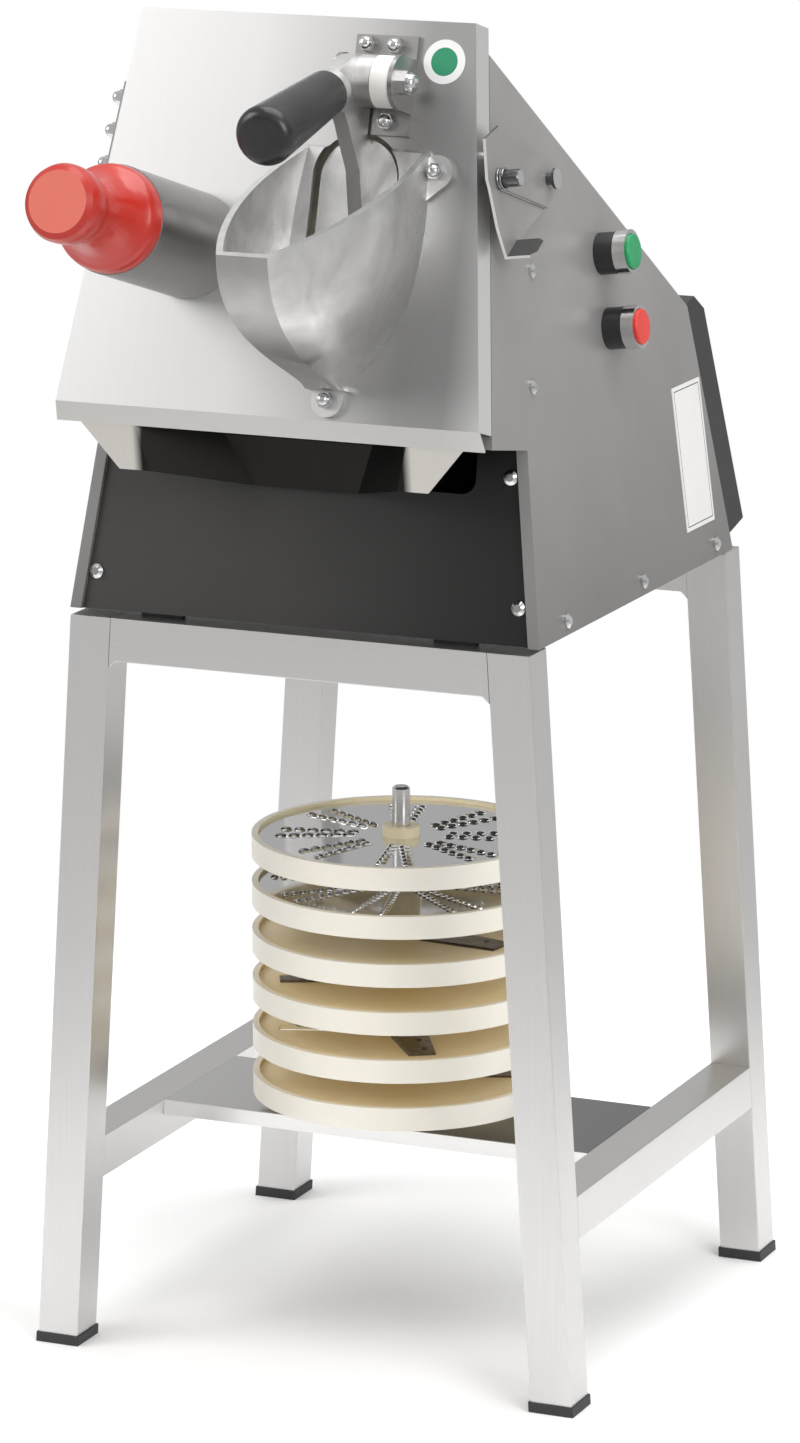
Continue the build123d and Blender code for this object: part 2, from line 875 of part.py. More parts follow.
def grooved(radius, place_v, bore):
    """A belt pulley with a flat-bottomed groove, standing across the shaft."""
    with BuildPart() as pulley:
        with BuildSketch(door_plane_at(0, place_v, -pulley_plane)):
            Circle(radius)
        extrude(amount=pulley_width / 2, both=True)
        with BuildSketch(door_plane_at(0, place_v, -pulley_plane)):
            Circle(radius)
            Circle(radius - belt_thickness, mode=Mode.SUBTRACT)
        extrude(amount=belt_width / 2 + belt_play, both=True, mode=Mode.SUBTRACT)
        if bore:
            with BuildSketch(door_plane_at(0, place_v, -pulley_plane)):
                Circle(bore)
            extrude(amount=pulley_width / 2, both=True, mode=Mode.SUBTRACT)
    return pulley.part


with BuildPart() as shaft_pulley:
    add(grooved(shaft_pulley_radius, disc_v, shaft_radius))
save(shaft_pulley, "shaft_pulley")

with BuildPart() as motor_pulley:
    add(grooved(motor_pulley_radius, motor_v, 0))
    with BuildSketch(door_plane_at(0, motor_v, -pulley_plane)):
        Circle(shaft_radius)
    extrude(amount=-(motor_face - pulley_plane + side_flange - side_play))
save(motor_pulley, "motor_pulley")

with BuildPart() as belt:
    with BuildSketch(door_plane_at(0, disc_v, -pulley_plane)):
        Circle(shaft_pulley_radius + belt_play)
        with Locations((0, motor_v - disc_v)):
            Circle(motor_pulley_radius + belt_play)
        make_hull()
    extrude(amount=belt_width / 2, both=True)
    with BuildSketch(door_plane_at(0, disc_v, -pulley_plane)):
        Circle(shaft_pulley_radius - belt_seat)
        with Locations((0, motor_v - disc_v)):
            Circle(motor_pulley_radius - belt_seat)
        make_hull()
    extrude(amount=belt_width / 2, both=True, mode=Mode.SUBTRACT)
save(belt, "drive_belt")

# Shaft with its bearings, ejector, cutting disc and nut

spindle_bore = spindle_radius + bore_play
disc_centre_h = -(disc_front + disc_rim / 2)
hub_back = disc_centre_h - (stack_first + disc_rim / 2)
hub_front = hub_back + disc_pitch
ejector_back = hub_back - ejector_sheet
nut_end = hub_front + disc_nut_height
with BuildPart() as shaft:
    with BuildSketch(door_plane_at(0, disc_v, ejector_back)):
        Circle(shaft_radius)
    extrude(amount=-(pulley_plane + pulley_width / 2 + ejector_back))
    with BuildSketch(door_plane_at(0, disc_v, ejector_back)):
        Circle(spindle_radius)
    extrude(amount=nut_end - ejector_back)
save(shaft, "main_shaft")

with BuildPart() as bearings:
    for bearing in (bearing_near, bearing_far):
        with BuildSketch(door_plane_at(0, disc_v, -bearing + bearing_width / 2)):
            Circle(bearing_radius)
            Circle(shaft_radius + running_fit, mode=Mode.SUBTRACT)
        extrude(amount=-bearing_width)
save(bearings, "shaft_bearings")

with BuildPart() as ejector:
    with BuildSketch(door_plane_at(0, disc_v, ejector_back)):
        Circle(disc_radius - disc_wall)
        Circle(spindle_radius, mode=Mode.SUBTRACT)
    extrude(amount=ejector_sheet)
    with BuildSketch(door_plane_at(0, disc_v, hub_back)):
        with PolarLocations((disc_radius + disc_hub_radius) / 2, 4):
            Rectangle(disc_radius - 3 * disc_hub_radius, disc_wall)
    extrude(amount=ejector_vane)
save(ejector, "ejector_disc")

with BuildPart() as disc_nut:
    with BuildSketch(door_plane_at(0, disc_v, hub_front)):
        Circle(disc_hub_radius)
        Circle(spindle_radius, mode=Mode.SUBTRACT)
    extrude(amount=nut_end - hub_front)
save(disc_nut, "disc_nut")

# Cutting discs: a moulded rim, web and hub carrying a grating plate or a blade

web_top = disc_rim / 2 - plate_recess - plate_sheet


def disc_body(place, windows, turn):
    """Moulded disc about a plane at the middle of its rim; windows open it under a grating plate."""
    with BuildPart() as body:
        with BuildSketch(place.offset(-disc_rim / 2)):
            Circle(disc_radius)
            Circle(disc_radius - disc_wall, mode=Mode.SUBTRACT)
        extrude(amount=disc_rim)
        with BuildSketch(place.offset(web_top - web_sheet)):
            Circle(disc_radius - disc_wall / 2)
            if windows:
                Circle(disc_radius - 3 * disc_wall, mode=Mode.SUBTRACT)
                Circle(disc_hub_radius + disc_wall)
                with PolarLocations((disc_radius - disc_wall) / 2, windows, start_angle=turn):
                    Rectangle(disc_radius - 2 * disc_wall, 2 * disc_wall)
            else:
                with Locations(Rot(0, 0, turn) * Pos(blade_reach, slot_width)):
                    Rectangle(blade_length, slot_width, mode=Mode.SUBTRACT)
        extrude(amount=web_sheet)
        with BuildSketch(place.offset(-disc_rim / 2 - stack_first)):
            Circle(disc_hub_radius)
        extrude(amount=disc_pitch)
        with BuildSketch(place.offset(-disc_rim / 2 - stack_first)):
            Circle(spindle_bore)
        extrude(amount=disc_pitch, mode=Mode.SUBTRACT)
    return body


def grating_plate(place, turn, tooth):
    """Steel plate on the web, with rings of rectangular holes."""
    plate_outer = disc_radius - disc_wall - bore_play
    with BuildPart() as plate:
        with BuildSketch(place.offset(web_top)):
            Circle(plate_outer)
            Circle(disc_hub_radius + bore_play, mode=Mode.SUBTRACT)
        extrude(amount=plate_sheet)
        with BuildSketch(place.offset(web_top)):
            for ring, count in grater_rings:
                with PolarLocations(plate_outer * ring, count, start_angle=turn):
                    Rectangle(tooth, 2 * tooth)
        extrude(amount=plate_sheet, mode=Mode.SUBTRACT)
    return plate


def blade(place, turn, length, width):
    """Steel blade lying on the web beside its slot."""
    with BuildPart() as knife:
        with BuildSketch(place.offset(web_top)):
            with Locations(Rot(0, 0, turn) * Pos(blade_reach, 0)):
                Trapezoid(length, width, blade_near_angle, blade_far_angle)
        extrude(amount=blade_sheet)
        with BuildSketch(place.offset(web_top)):
            Circle(disc_hub_radius + bore_play)
        extrude(amount=blade_sheet, mode=Mode.SUBTRACT)
    return knife


def stack_place(level):
    height = stretcher_top + stack_first + disc_rim / 2 + level * disc_pitch
    return Plane(origin=(0, stand_y + spindle_y, height), x_dir=(1, 0, 0), z_dir=(0, 0, 1))


for level, (turn, length, width) in enumerate(slicer_turns):
    save(disc_body(stack_place(level), 0, turn), f"slicer_{level + 1}_body")
    save(blade(stack_place(level), turn, length, width), f"slicer_{level + 1}_blade")
for number, (turn, tooth) in enumerate(grater_turns, start=1):
    level = len(slicer_turns) + number - 1
    save(disc_body(stack_place(level), web_arms, 2 * turn), f"grater_{number}_body")
    save(grating_plate(stack_place(level), turn, tooth), f"grater_{number}_plate")

working_place = door_plane_at(0, disc_v, disc_centre_h)
save(disc_body(working_place, 0, working_turn), "working_disc_body")
save(blade(working_place, working_turn, blade_length, blade_width), "working_disc_blade")

# Places of the acorn nuts

hopper_nuts = [(104.3, 165.1), (0.8, 166.0), (44.6, lug_low_v)]
bracket_nuts = [(47.1, 245.7), (67.0, 245.2), (66.0, 195.7)]
hopper_nut_places = [door_plane_at(u, v, lug_thickness) for u, v in hopper_nuts]
bracket_nut_places = [door_plane_at(u, v, ear_thickness) for u, v in bracket_nuts]

# Hinge frame: local x up the left edge of the door, y backwards, z out of the side

hinge_x = left_side.z_dir.cross(door_face.z_dir).normalized()
if hinge_x.Z < 0:
    hinge_x = hinge_x * -1
hinge_foot = on_door(0, hinge_v, -door_depth - door_gap / 2)
hinge_face = Plane(
    origin=(-half_width(hinge_foot.Z), hinge_foot.Y, hinge_foot.Z), x_dir=hinge_x, z_dir=left_side.z_dir
)


def hinge_place(x, y, z):
    shift = hinge_face.x_dir * x + hinge_face.y_dir * y + hinge_face.z_dir * z
    return Plane(origin=hinge_face.origin + shift, x_dir=hinge_face.x_dir, z_dir=hinge_face.z_dir)


hinge_reach = door_depth / 2
hinge_nut_places = [
    hinge_place((index - (hinge_nuts - 1) / 2) * hinge_pitch, -hinge_reach, hinge_leaf)
    for index in range(hinge_nuts)
]

# Door: a folded panel with the slot under the hopper, the tube hole and a drip edge below

door_outline = [
    door_yz(0, 0),
    door_yz(door_length, 0),
    door_yz(door_length, -door_depth),
    door_yz(0, -door_depth),
]
door_inner = [
    door_yz(-sheet, -sheet),
    door_yz(door_length - sheet, -sheet),
    door_yz(door_length - sheet, -door_depth - sheet),
    door_yz(-sheet, -door_depth - sheet),
]
band_outline = [
    door_yz(0, 0),
    door_yz(-band_drop, -band_depth),
    door_yz(-band_drop + sheet / 2, -band_depth - sheet),
    door_yz(sheet / 2, -sheet),
]
latch_reach = hypot(stud_y - latch_y, stud_s - latch_s)
latch_angle = atan((stud_s - latch_s) / (latch_y - stud_y)) + radians(latch_swing)
keeper_reach = latch_reach - hook_radius - keeper_gap - keeper_radius
keeper_place = side_plane_at(
    latch_y - keeper_reach * cos(latch_angle), latch_s + keeper_reach * sin(latch_angle), 0
)
with BuildPart() as door:
    add(between_sides(door_outline))
    add(between_sides(door_inner, sheet), mode=Mode.SUBTRACT)
    add(between_sides(band_outline))
    with BuildSketch(door_plane_at(tube_u, tube_v, 0)):
        Circle(feed_radius)
    extrude(amount=through / 2, both=True, mode=Mode.SUBTRACT)
    with BuildSketch(door_plane_at(hopper_u, 0, 0)):
        with Locations((0, opening_top_v), (0, opening_low_v)):
            Circle(opening_radius)
        with Locations((0, (opening_top_v + opening_low_v) / 2)):
            Rectangle(2 * opening_radius, opening_top_v - opening_low_v)
    extrude(amount=through / 2, both=True, mode=Mode.SUBTRACT)
    drill(hopper_nut_places + bracket_nut_places, hole_radius, through / 2)
    drill(hinge_nut_places, hole_radius, through / 2)
    drill([keeper_place], keeper_radius, through / 2)
save(door, "door_panel")

# Feed tube, welded into the door

with BuildPart() as feed:
    with BuildSketch(door_plane_at(tube_u, tube_v, -feed_tail)):
        Circle(feed_radius)
        Circle(feed_radius - feed_wall, mode=Mode.SUBTRACT)
    extrude(amount=feed_tail + feed_length)
save(feed, "feed_tube")

# Pusher in the tube, turned to a waisted knob

pusher_radius = feed_radius - feed_wall - pusher_gap
pusher_profile = [
    (0, -pusher_tail),
    (pusher_radius - pusher_gap, -pusher_tail),
    (pusher_radius, -pusher_tail + pusher_gap),
    (pusher_radius, feed_length),
    (flange_radius, feed_length),
    (flange_radius, 126.0),
    (34.2, 130.0),
    (31.0, 133.5),
    (26.5, 140.0),
    (23.0, 150.0),
    (21.0, 161.0),
    (21.4, 170.0),
    (23.5, 176.5),
    (25.0, 181.0),
    (knob_radius, 187.0),
    (knob_radius, 192.0),
    (23.6, 196.6),
    (20.0, knob_end),
    (0, knob_end),
]
pusher_plane = Plane(
    origin=on_door(tube_u, tube_v, 0), x_dir=(1, 0, 0), z_dir=-1 * door_face.y_dir
)
with BuildPart() as pusher:
    with BuildSketch(pusher_plane):
        Polygon(*pusher_profile, align=None)
    revolve(axis=Axis(on_door(tube_u, tube_v, 0), door_face.z_dir))
save(pusher, "pusher")

# Cast hopper: lofted up the door from five bowed sections, cut off slanting at the rim

hopper_sections = [
    (19.5, -3.0, 15.0, 9.0, 20.0),
    (40.0, -1.8, 27.0, 15.0, 110.0),
    (62.0, -0.5, 39.0, 17.5, 150.0),
    (90.0, 1.0, 46.0, 17.5, 168.0),
    (182.0, 5.2, 43.8, 17.5, 190.0),
]


def bow(v, shift, half, nose, depth, wall):
    """One closed section of the hopper on the door, bowed out to a flat nose."""
    low = hopper_flange if wall else 0
    with BuildSketch(
        Plane(origin=on_door(hopper_u + shift, v, 0), x_dir=(1, 0, 0), z_dir=-1 * door_face.y_dir)
    ) as section:
        with BuildLine():
            wide = half - wall
            flat = nose - wall / 2
            deep = depth - wall
            Line((-wide, low), (wide, low))
            ThreePointArc((wide, low), (wide * bow_side, deep * bow_reach), (flat, deep))
            Line((flat, deep), (-flat, deep))
            ThreePointArc((-flat, deep), (-wide * bow_side, deep * bow_reach), (-wide, low))
        make_face()
    return section


rim_plane = Plane(
    origin=on_door(hopper_u, rim_v, 0),
    x_dir=(1, 0, 0),
    z_dir=door_face.y_dir + door_face.z_dir * rim_fall,
)
with BuildPart() as hollow:
    inner_sections = [
        bow(v + hopper_wall, shift, half, nose, depth, hopper_wall).sketch
        for v, shift, half, nose, depth in hopper_sections
    ]
    loft(sections=inner_sections)

with BuildPart() as hopper:
    outer_sections = [
        bow(v, shift, half, nose, depth, 0).sketch for v, shift, half, nose, depth in hopper_sections
    ]
    loft(sections=outer_sections)
    split(bisect_by=rim_plane, keep=Keep.BOTTOM)
    for (u, v), lean in zip(hopper_nuts, (1, -1, 0)):
        with BuildSketch(door_plane_at(0, 0, 0)):
            with Locations((u, v)):
                Circle(lug_radius)
            if lean:
                with Locations((hopper_u + lean * (opening_radius + lug_radius), v - 2 * lug_radius)):
                    Circle(lug_thickness)
            else:
                with Locations((hopper_u, v + 2 * lug_radius)):
                    Circle(lug_radius)
            make_hull()
        extrude(amount=lug_thickness)
    add(hollow.part, mode=Mode.SUBTRACT)
    with BuildSketch(door_plane_at(hopper_u, 0, 0)):
        with Locations((0, opening_top_v), (0, opening_low_v)):
            Circle(opening_radius)
        with Locations((0, (opening_top_v + opening_low_v) / 2)):
            Rectangle(2 * opening_radius, opening_top_v - opening_low_v)
    extrude(amount=hopper_flange, mode=Mode.SUBTRACT)
    drill(hopper_nut_places, hole_radius, through / 2)
save(hopper, "hopper")

# Lever bracket: a base on the door with two upright ears

bracket_middle = (ear_left_u + ear_right_u + ear_thickness) / 2
ear_radius = hub_radius + sheet / 2


def across_pivot(u):
    return Plane(origin=on_door(u, lever_v, lever_h), x_dir=door_face.z_dir, z_dir=(-1, 0, 0))


with BuildPart() as bracket:
    with BuildSketch(door_face):
        with Locations((bracket_middle, (bracket_low_v + bracket_high_v) / 2)):
            Rectangle(ear_right_u + ear_thickness - ear_left_u, bracket_high_v - bracket_low_v)
    extrude(amount=ear_thickness)
    for ear_u in (ear_left_u, ear_right_u):
        with BuildSketch(across_pivot(ear_u + ear_thickness)):
            Circle(ear_radius)
            with Locations((-lever_h + sheet / 2, 0)):
                Rectangle(sheet, 2 * ear_radius)
            make_hull()
        extrude(amount=ear_thickness)
        with BuildSketch(across_pivot(ear_u + ear_thickness)):
            Circle(bolt_radius)
        extrude(amount=ear_thickness, mode=Mode.SUBTRACT)
    drill(bracket_nut_places, hole_radius, through / 2)
save(bracket, "lever_bracket")

bush_near = ear_right_u - bush_length
with BuildPart() as bush:
    with BuildSketch(across_pivot(ear_right_u)):
        Circle(hub_radius)
        Circle(bolt_radius, mode=Mode.SUBTRACT)
    extrude(amount=bush_length)
save(bush, "lever_bush")

acorn_u = ear_right_u + ear_thickness
with BuildPart() as pivot_bolt:
    with BuildSketch(across_pivot(acorn_u + nut_height)):
        Circle(bolt_radius)
    extrude(amount=nut_height + acorn_u - ear_left_u)
    with BuildSketch(across_pivot(ear_left_u)):
        RegularPolygon(nut_radius * 1.5, 6)
    extrude(amount=nut_height)
    with BuildSketch(across_pivot(acorn_u + nut_height)):
        RegularPolygon(nut_radius * 1.5, 6)
    extrude(amount=nut_height)
    with BuildSketch(across_pivot(acorn_u + nut_height)):
        Circle(dome_radius * 1.5)
    extrude(amount=-nut_height)
    fillet(pivot_bolt.faces().sort_by(Axis.X)[-1].edges(), nut_height * 0.8)
save(pivot_bolt, "pivot_bolt")

# Lever: hub, rib and presser in one casting, with a tapered grip

arm_left_u = ear_left_u + ear_thickness + side_play * 2
hub_end_u = bush_near - side_play
grip_run = hypot(grip_near_v - grip_far_v, grip_far_h - grip_near_h)
grip_dir = (on_door(0, grip_far_v, grip_far_h) - on_door(0, grip_near_v, grip_near_h)).normalized()
grip_plane = Plane(
    origin=on_door(grip_u, grip_near_v, grip_near_h), x_dir=(1, 0, 0), z_dir=grip_dir
)
rib_outline = [
    (22.0, 236.0),
    (38.0, 233.5),
    (58.0, 221.0),
    (68.0, 213.0),
    (62.0, 193.0),
    (46.0, 195.0),
    (37.0, 187.5),
    (31.0, 181.0),
    (12.0, 162.0),
    (0.0, 134.0),
    (-presser_recess - 1, 132.0),
    (-presser_recess - 1, 181.0),
    (5.5, 185.5),
    (5.5, 205.0),
]
presser_half = opening_radius - presser_gap
with BuildPart() as lever:
    with BuildSketch(across_pivot(hub_end_u)):
        Circle(hub_radius)
    extrude(amount=hub_end_u - arm_left_u)
    with BuildSketch(side_profile_plane(rib_right_u)):
        Polygon(*rib_outline, align=None)
    extrude(amount=rib_right_u - rib_left_u)
    with BuildSketch(grip_plane.offset(-tube / 3)):
        Circle(grip_near_radius - sheet)
    extrude(amount=tube / 3)
    with BuildSketch(door_plane_at(hopper_u, 0, -presser_recess)):
        with Locations((0, opening_top_v), (0, opening_low_v)):
            Circle(presser_half)
        with Locations((0, (opening_top_v + opening_low_v) / 2)):
            Rectangle(2 * presser_half, opening_top_v - opening_low_v)
    extrude(amount=-presser_thickness)
    with BuildSketch(across_pivot(hub_end_u)):
        Circle(bolt_radius + running_fit)
    extrude(amount=hub_end_u - arm_left_u, mode=Mode.SUBTRACT)
save(lever, "lever_arm")

with BuildPart() as grip:
    with BuildSketch(grip_plane):
        Circle(grip_near_radius)
    with BuildSketch(grip_plane.offset(grip_run)):
        Circle(grip_far_radius)
    loft(ruled=True)
    fillet(grip.edges().sort_by_distance(grip_plane.origin)[-1], grip_rounding)
save(grip, "lever_grip")

# Acorn nuts on the door

with BuildPart() as one_nut:
    with BuildSketch():
        RegularPolygon(nut_radius, 6)
    extrude(amount=nut_height)
    with BuildSketch(Plane.XY.offset(nut_height)):
        Circle(dome_radius)
    extrude(amount=dome_radius)
    fillet(one_nut.faces().sort_by(Axis.Z)[-1].edges(), dome_radius * 0.8)
    with BuildSketch():
        Circle(screw_shank)
    extrude(amount=-2 * ear_thickness)

with BuildPart() as nuts:
    with Locations(*(hopper_nut_places + bracket_nut_places + hinge_nut_places)):
        add(one_nut.part)
save(nuts, "door_nuts")

# Door hinge: two leaves with interleaved knuckles, turning on a pin fixed in the body leaf

knuckle_z = hinge_knuckle + hinge_lift
knuckle_pitch = hinge_length / knuckle_count
pin_end = Plane(
    origin=hinge_place(0, 0, knuckle_z).origin, x_dir=hinge_face.z_dir, z_dir=hinge_face.x_dir
)


def hinge_half(side, slots):
    """One leaf of the hinge: side -1 lies on the door, side 1 on the body and holds the pin."""
    with BuildPart() as leaf:
        with BuildSketch(hinge_face):
            with Locations((0, side * (knuckle_z + door_depth - 2) / 2)):
                Rectangle(hinge_length, door_depth - 2 - knuckle_z)
        extrude(amount=hinge_leaf)
        for slot in slots:
            middle = (slot - (knuckle_count - 1) / 2) * knuckle_pitch
            with BuildSketch(hinge_face):
                with Locations((middle, side * knuckle_z / 2)):
                    Rectangle(knuckle_pitch - 2 * side_play, knuckle_z)
            extrude(amount=hinge_leaf)
            with BuildSketch(
                Plane(
                    origin=hinge_place(middle, 0, knuckle_z).origin,
                    x_dir=hinge_face.z_dir,
                    z_dir=hinge_face.x_dir,
                )
            ):
                Circle(hinge_knuckle)
            extrude(amount=knuckle_pitch / 2 - side_play, both=True)
        with BuildSketch(pin_end):
            Circle(hinge_pin_radius + (running_fit if side < 0 else 0))
        if side < 0:
            extrude(amount=hinge_length, both=True, mode=Mode.SUBTRACT)
            drill(hinge_nut_places, hole_radius, through / 2)
        else:
            extrude(amount=hinge_length / 2 + spacer, both=True)
    return leaf


save(hinge_half(-1, (0, 2, 4)), "door_hinge_leaf")
save(hinge_half(1, (1, 3)), "body_hinge_leaf")

# Catch stud on the door's right edge, kept short behind the latch plate

with BuildPart() as stud:
    with BuildSketch(keeper_place):
        Circle(keeper_radius)
    extrude(amount=keeper_length)
    chamfer(stud.faces().sort_by(Axis.X)[-1].edges(), keeper_radius / 6)
    with BuildSketch(keeper_place):
        Circle(keeper_radius)
    extrude(amount=-2 * sheet)
save(stud, "catch_stud")

# Latch: a bent plate turning on a headed post, with a finger stud that hooks the catch stud

latch_face = side_plane_at(0, 0, latch_offset)
latch_outline = [
    (-203.6, 337.0),
    (-207.2, 311.5),
    (-204.8, 303.8),
    (-199.7, 278.6),
    (-190.6, 257.2),
    (-171.4, 265.5),
    (-100.0, 287.0),
    (-94.0, 297.0),
    (-96.0, 309.0),
    (-108.0, 313.0),
    (-150.0, 322.0),
    (-170.0, 341.0),
    (-179.3, 342.5),
]
tab_start = latch_outline[4]
tab_end = latch_outline[5]
with BuildPart() as latch:
    with BuildSketch(latch_face):
        Polygon(*latch_outline, align=None)
        with Locations((latch_y, latch_s)):
            Circle(latch_post_radius + running_fit, mode=Mode.SUBTRACT)
        with Locations((stud_y, stud_s)):
            Circle(hook_radius, mode=Mode.SUBTRACT)
    extrude(amount=latch_sheet)
    with BuildSketch(latch_face):
        with BuildLine():
            Line(tab_start, tab_end)
            offset(amount=latch_sheet, side=Side.LEFT)
        make_face()
    extrude(amount=latch_tab)
    tab_edges = latch.edges().filter_by(
        lambda edge: abs(edge.length - latch_sheet) < sheet / 2
        and (edge.center() - latch_face.origin).dot(latch_face.z_dir) > latch_tab - sheet
    )
    chamfer(tab_edges, latch_corner)
save(latch, "latch_plate")

with BuildPart() as finger_stud:
    with BuildSketch(side_plane_at(stud_y, stud_s, hook_end)):
        Circle(hook_radius)
    extrude(amount=latch_offset + latch_sheet - hook_end)
    with BuildSketch(side_plane_at(stud_y, stud_s, latch_offset + latch_sheet)):
        Circle(stud_radius)
    extrude(amount=stud_end - latch_offset - latch_sheet)
    chamfer(finger_stud.faces().sort_by(Axis.X)[-1].edges(), sheet / 2)
save(finger_stud, "latch_stud")

with BuildPart() as post:
    with BuildSketch(side_plane_at(latch_y, latch_s, -2 * sheet)):
        Circle(latch_post_radius)
    extrude(amount=latch_head_end + 2 * sheet)
    with BuildSketch(side_plane_at(latch_y, latch_s, 0)):
        Circle(latch_head_radius)
    extrude(amount=latch_offset - side_play)
    with BuildSketch(side_plane_at(latch_y, latch_s, latch_head_end)):
        Circle(latch_head_radius)
    extrude(amount=-latch_sheet)
save(post, "latch_post")

# Latch spring: a coil round the finger stud with one long arm lying on the plate

spring_face = side_plane_at(stud_y, stud_s, latch_offset + latch_sheet + wire_radius)
coil_radius = stud_radius + wire_radius + running_fit
with BuildPart() as spring:
    with BuildLine() as coil:
        Helix(
            2.2 * wire_radius,
            2.2 * wire_radius * spring_turns,
            coil_radius,
            center=spring_face.origin,
            direction=spring_face.z_dir,
        )
    with BuildSketch(Plane(origin=coil.line @ 0, z_dir=coil.line % 0)):
        RegularPolygon(wire_radius, 8)
    sweep(path=coil.line)
    arm_run = hypot(spring_end_y - stud_y, spring_end_s - stud_s)
    arm_y = (spring_end_y - stud_y) / arm_run
    arm_s = (spring_end_s - stud_s) / arm_run
    arm_start = side_plane_at(
        stud_y + arm_s * coil_radius,
        stud_s - arm_y * coil_radius,
        latch_offset + latch_sheet + wire_radius,
    ).origin
    with BuildSketch(
        Plane(origin=arm_start, z_dir=right_side.x_dir * arm_y + right_side.y_dir * arm_s)
    ):
        Circle(wire_radius)
    extrude(amount=arm_run)
save(spring, "latch_spring")

# Push buttons: ribbed collars, bright bezels and flat caps

button_places = [side_plane_at(button_y, s, 0) for s in (start_s, stop_s)]


def button_ring(low, high, outer):
    with BuildPart() as ring:
        for place in button_places:
            with BuildSketch(place.offset(low)):
                Circle(outer)
                Circle(cap_radius + cap_play, mode=Mode.SUBTRACT)
            extrude(amount=high - low)
    return ring


save(button_ring(0, collar_length, button_radius - sheet / 2), "button_collars")
save(button_ring(collar_length, collar_length + bezel_length, button_radius), "button_bezels")
for place, name in zip(button_places, ("start_button", "stop_button")):
    with BuildPart() as cap:
        with BuildSketch(place.offset(button_seat)):
            Circle(cap_radius)
        extrude(amount=collar_length + bezel_length + cap_proud - button_seat)
        chamfer(cap.faces().sort_by(Axis.X)[-1].edges(), sheet / 2)
    save(cap, name)

# Dome screws of the side panels and the lower front panel

with BuildPart() as one_screw:
    with BuildSketch():
        Circle(screw_radius)
    extrude(amount=screw_head)
    chamfer(one_screw.faces().sort_by(Axis.Z)[-1].edges(), screw_head / 2, screw_head * 0.7)
    with BuildSketch():
        Circle(screw_shank)
    extrude(amount=-screw_length)

with BuildPart() as screws:
    with Locations(*(right_screw_places + left_screw_places + front_screw_places)):
        add(one_screw.part)
save(screws, "dome_screws")
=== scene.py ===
from math import atan, cos, pi, radians, sin

import bpy
import bmesh
from mathutils import Matrix, Vector


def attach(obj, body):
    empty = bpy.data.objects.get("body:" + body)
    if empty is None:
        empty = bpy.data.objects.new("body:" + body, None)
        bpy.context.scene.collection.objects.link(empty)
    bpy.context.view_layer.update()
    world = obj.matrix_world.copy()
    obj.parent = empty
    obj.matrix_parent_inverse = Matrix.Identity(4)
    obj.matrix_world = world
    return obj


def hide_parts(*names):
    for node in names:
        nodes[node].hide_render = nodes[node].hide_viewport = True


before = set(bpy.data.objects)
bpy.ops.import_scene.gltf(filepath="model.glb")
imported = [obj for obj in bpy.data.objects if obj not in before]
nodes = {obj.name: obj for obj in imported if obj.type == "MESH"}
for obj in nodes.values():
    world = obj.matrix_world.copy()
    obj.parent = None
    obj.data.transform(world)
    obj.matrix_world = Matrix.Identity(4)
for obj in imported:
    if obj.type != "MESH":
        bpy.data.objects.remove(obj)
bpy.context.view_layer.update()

# Studio: white surroundings, three large soft lamps and a round of pale paper under the stand.
# The surroundings show as plain white and light the metal from above, with a darker band near
# the horizon that gives steel its soft contrast. The paper fades out before any horizon shows.

backdrop_strength = 1.0
skylight_strength = 0.74
scene = bpy.context.scene
scene.view_settings.view_transform = "Standard"
world = bpy.data.worlds.new("studio")
scene.world = world
world.use_nodes = True
tree = world.node_tree
tree.nodes.clear()
output = tree.nodes.new("ShaderNodeOutputWorld")
mix = tree.nodes.new("ShaderNodeMixShader")
path = tree.nodes.new("ShaderNodeLightPath")
plain = tree.nodes.new("ShaderNodeBackground")
plain.inputs["Color"].default_value = (1, 1, 1, 1)
plain.inputs["Strength"].default_value = backdrop_strength
soft = tree.nodes.new("ShaderNodeBackground")
soft.inputs["Strength"].default_value = skylight_strength
coord = tree.nodes.new("ShaderNodeTexCoord")
split = tree.nodes.new("ShaderNodeSeparateXYZ")
ramp = tree.nodes.new("ShaderNodeValToRGB")
ramp.color_ramp.elements[0].position = 0.30
ramp.color_ramp.elements[0].color = (0.97, 0.96, 0.95, 1)
ramp.color_ramp.elements[1].position = 0.95
ramp.color_ramp.elements[1].color = (0.98, 0.98, 0.98, 1)
for place, shade in ((0.44, 0.86), (0.52, 0.42), (0.61, 0.6), (0.72, 0.86)):
    stop = ramp.color_ramp.elements.new(place)
    stop.color = (shade, shade, shade, 1)
half = tree.nodes.new("ShaderNodeMath")
half.operation = "MULTIPLY_ADD"
half.inputs[1].default_value = 0.5
half.inputs[2].default_value = 0.5
tree.links.new(coord.outputs["Generated"], split.inputs[0])
tree.links.new(split.outputs["Z"], half.inputs[0])
tree.links.new(half.outputs[0], ramp.inputs[0])
tree.links.new(ramp.outputs[0], soft.inputs["Color"])
tree.links.new(path.outputs["Is Camera Ray"], mix.inputs[0])
tree.links.new(soft.outputs[0], mix.inputs[1])
tree.links.new(plain.outputs[0], mix.inputs[2])
tree.links.new(mix.outputs[0], output.inputs[0])

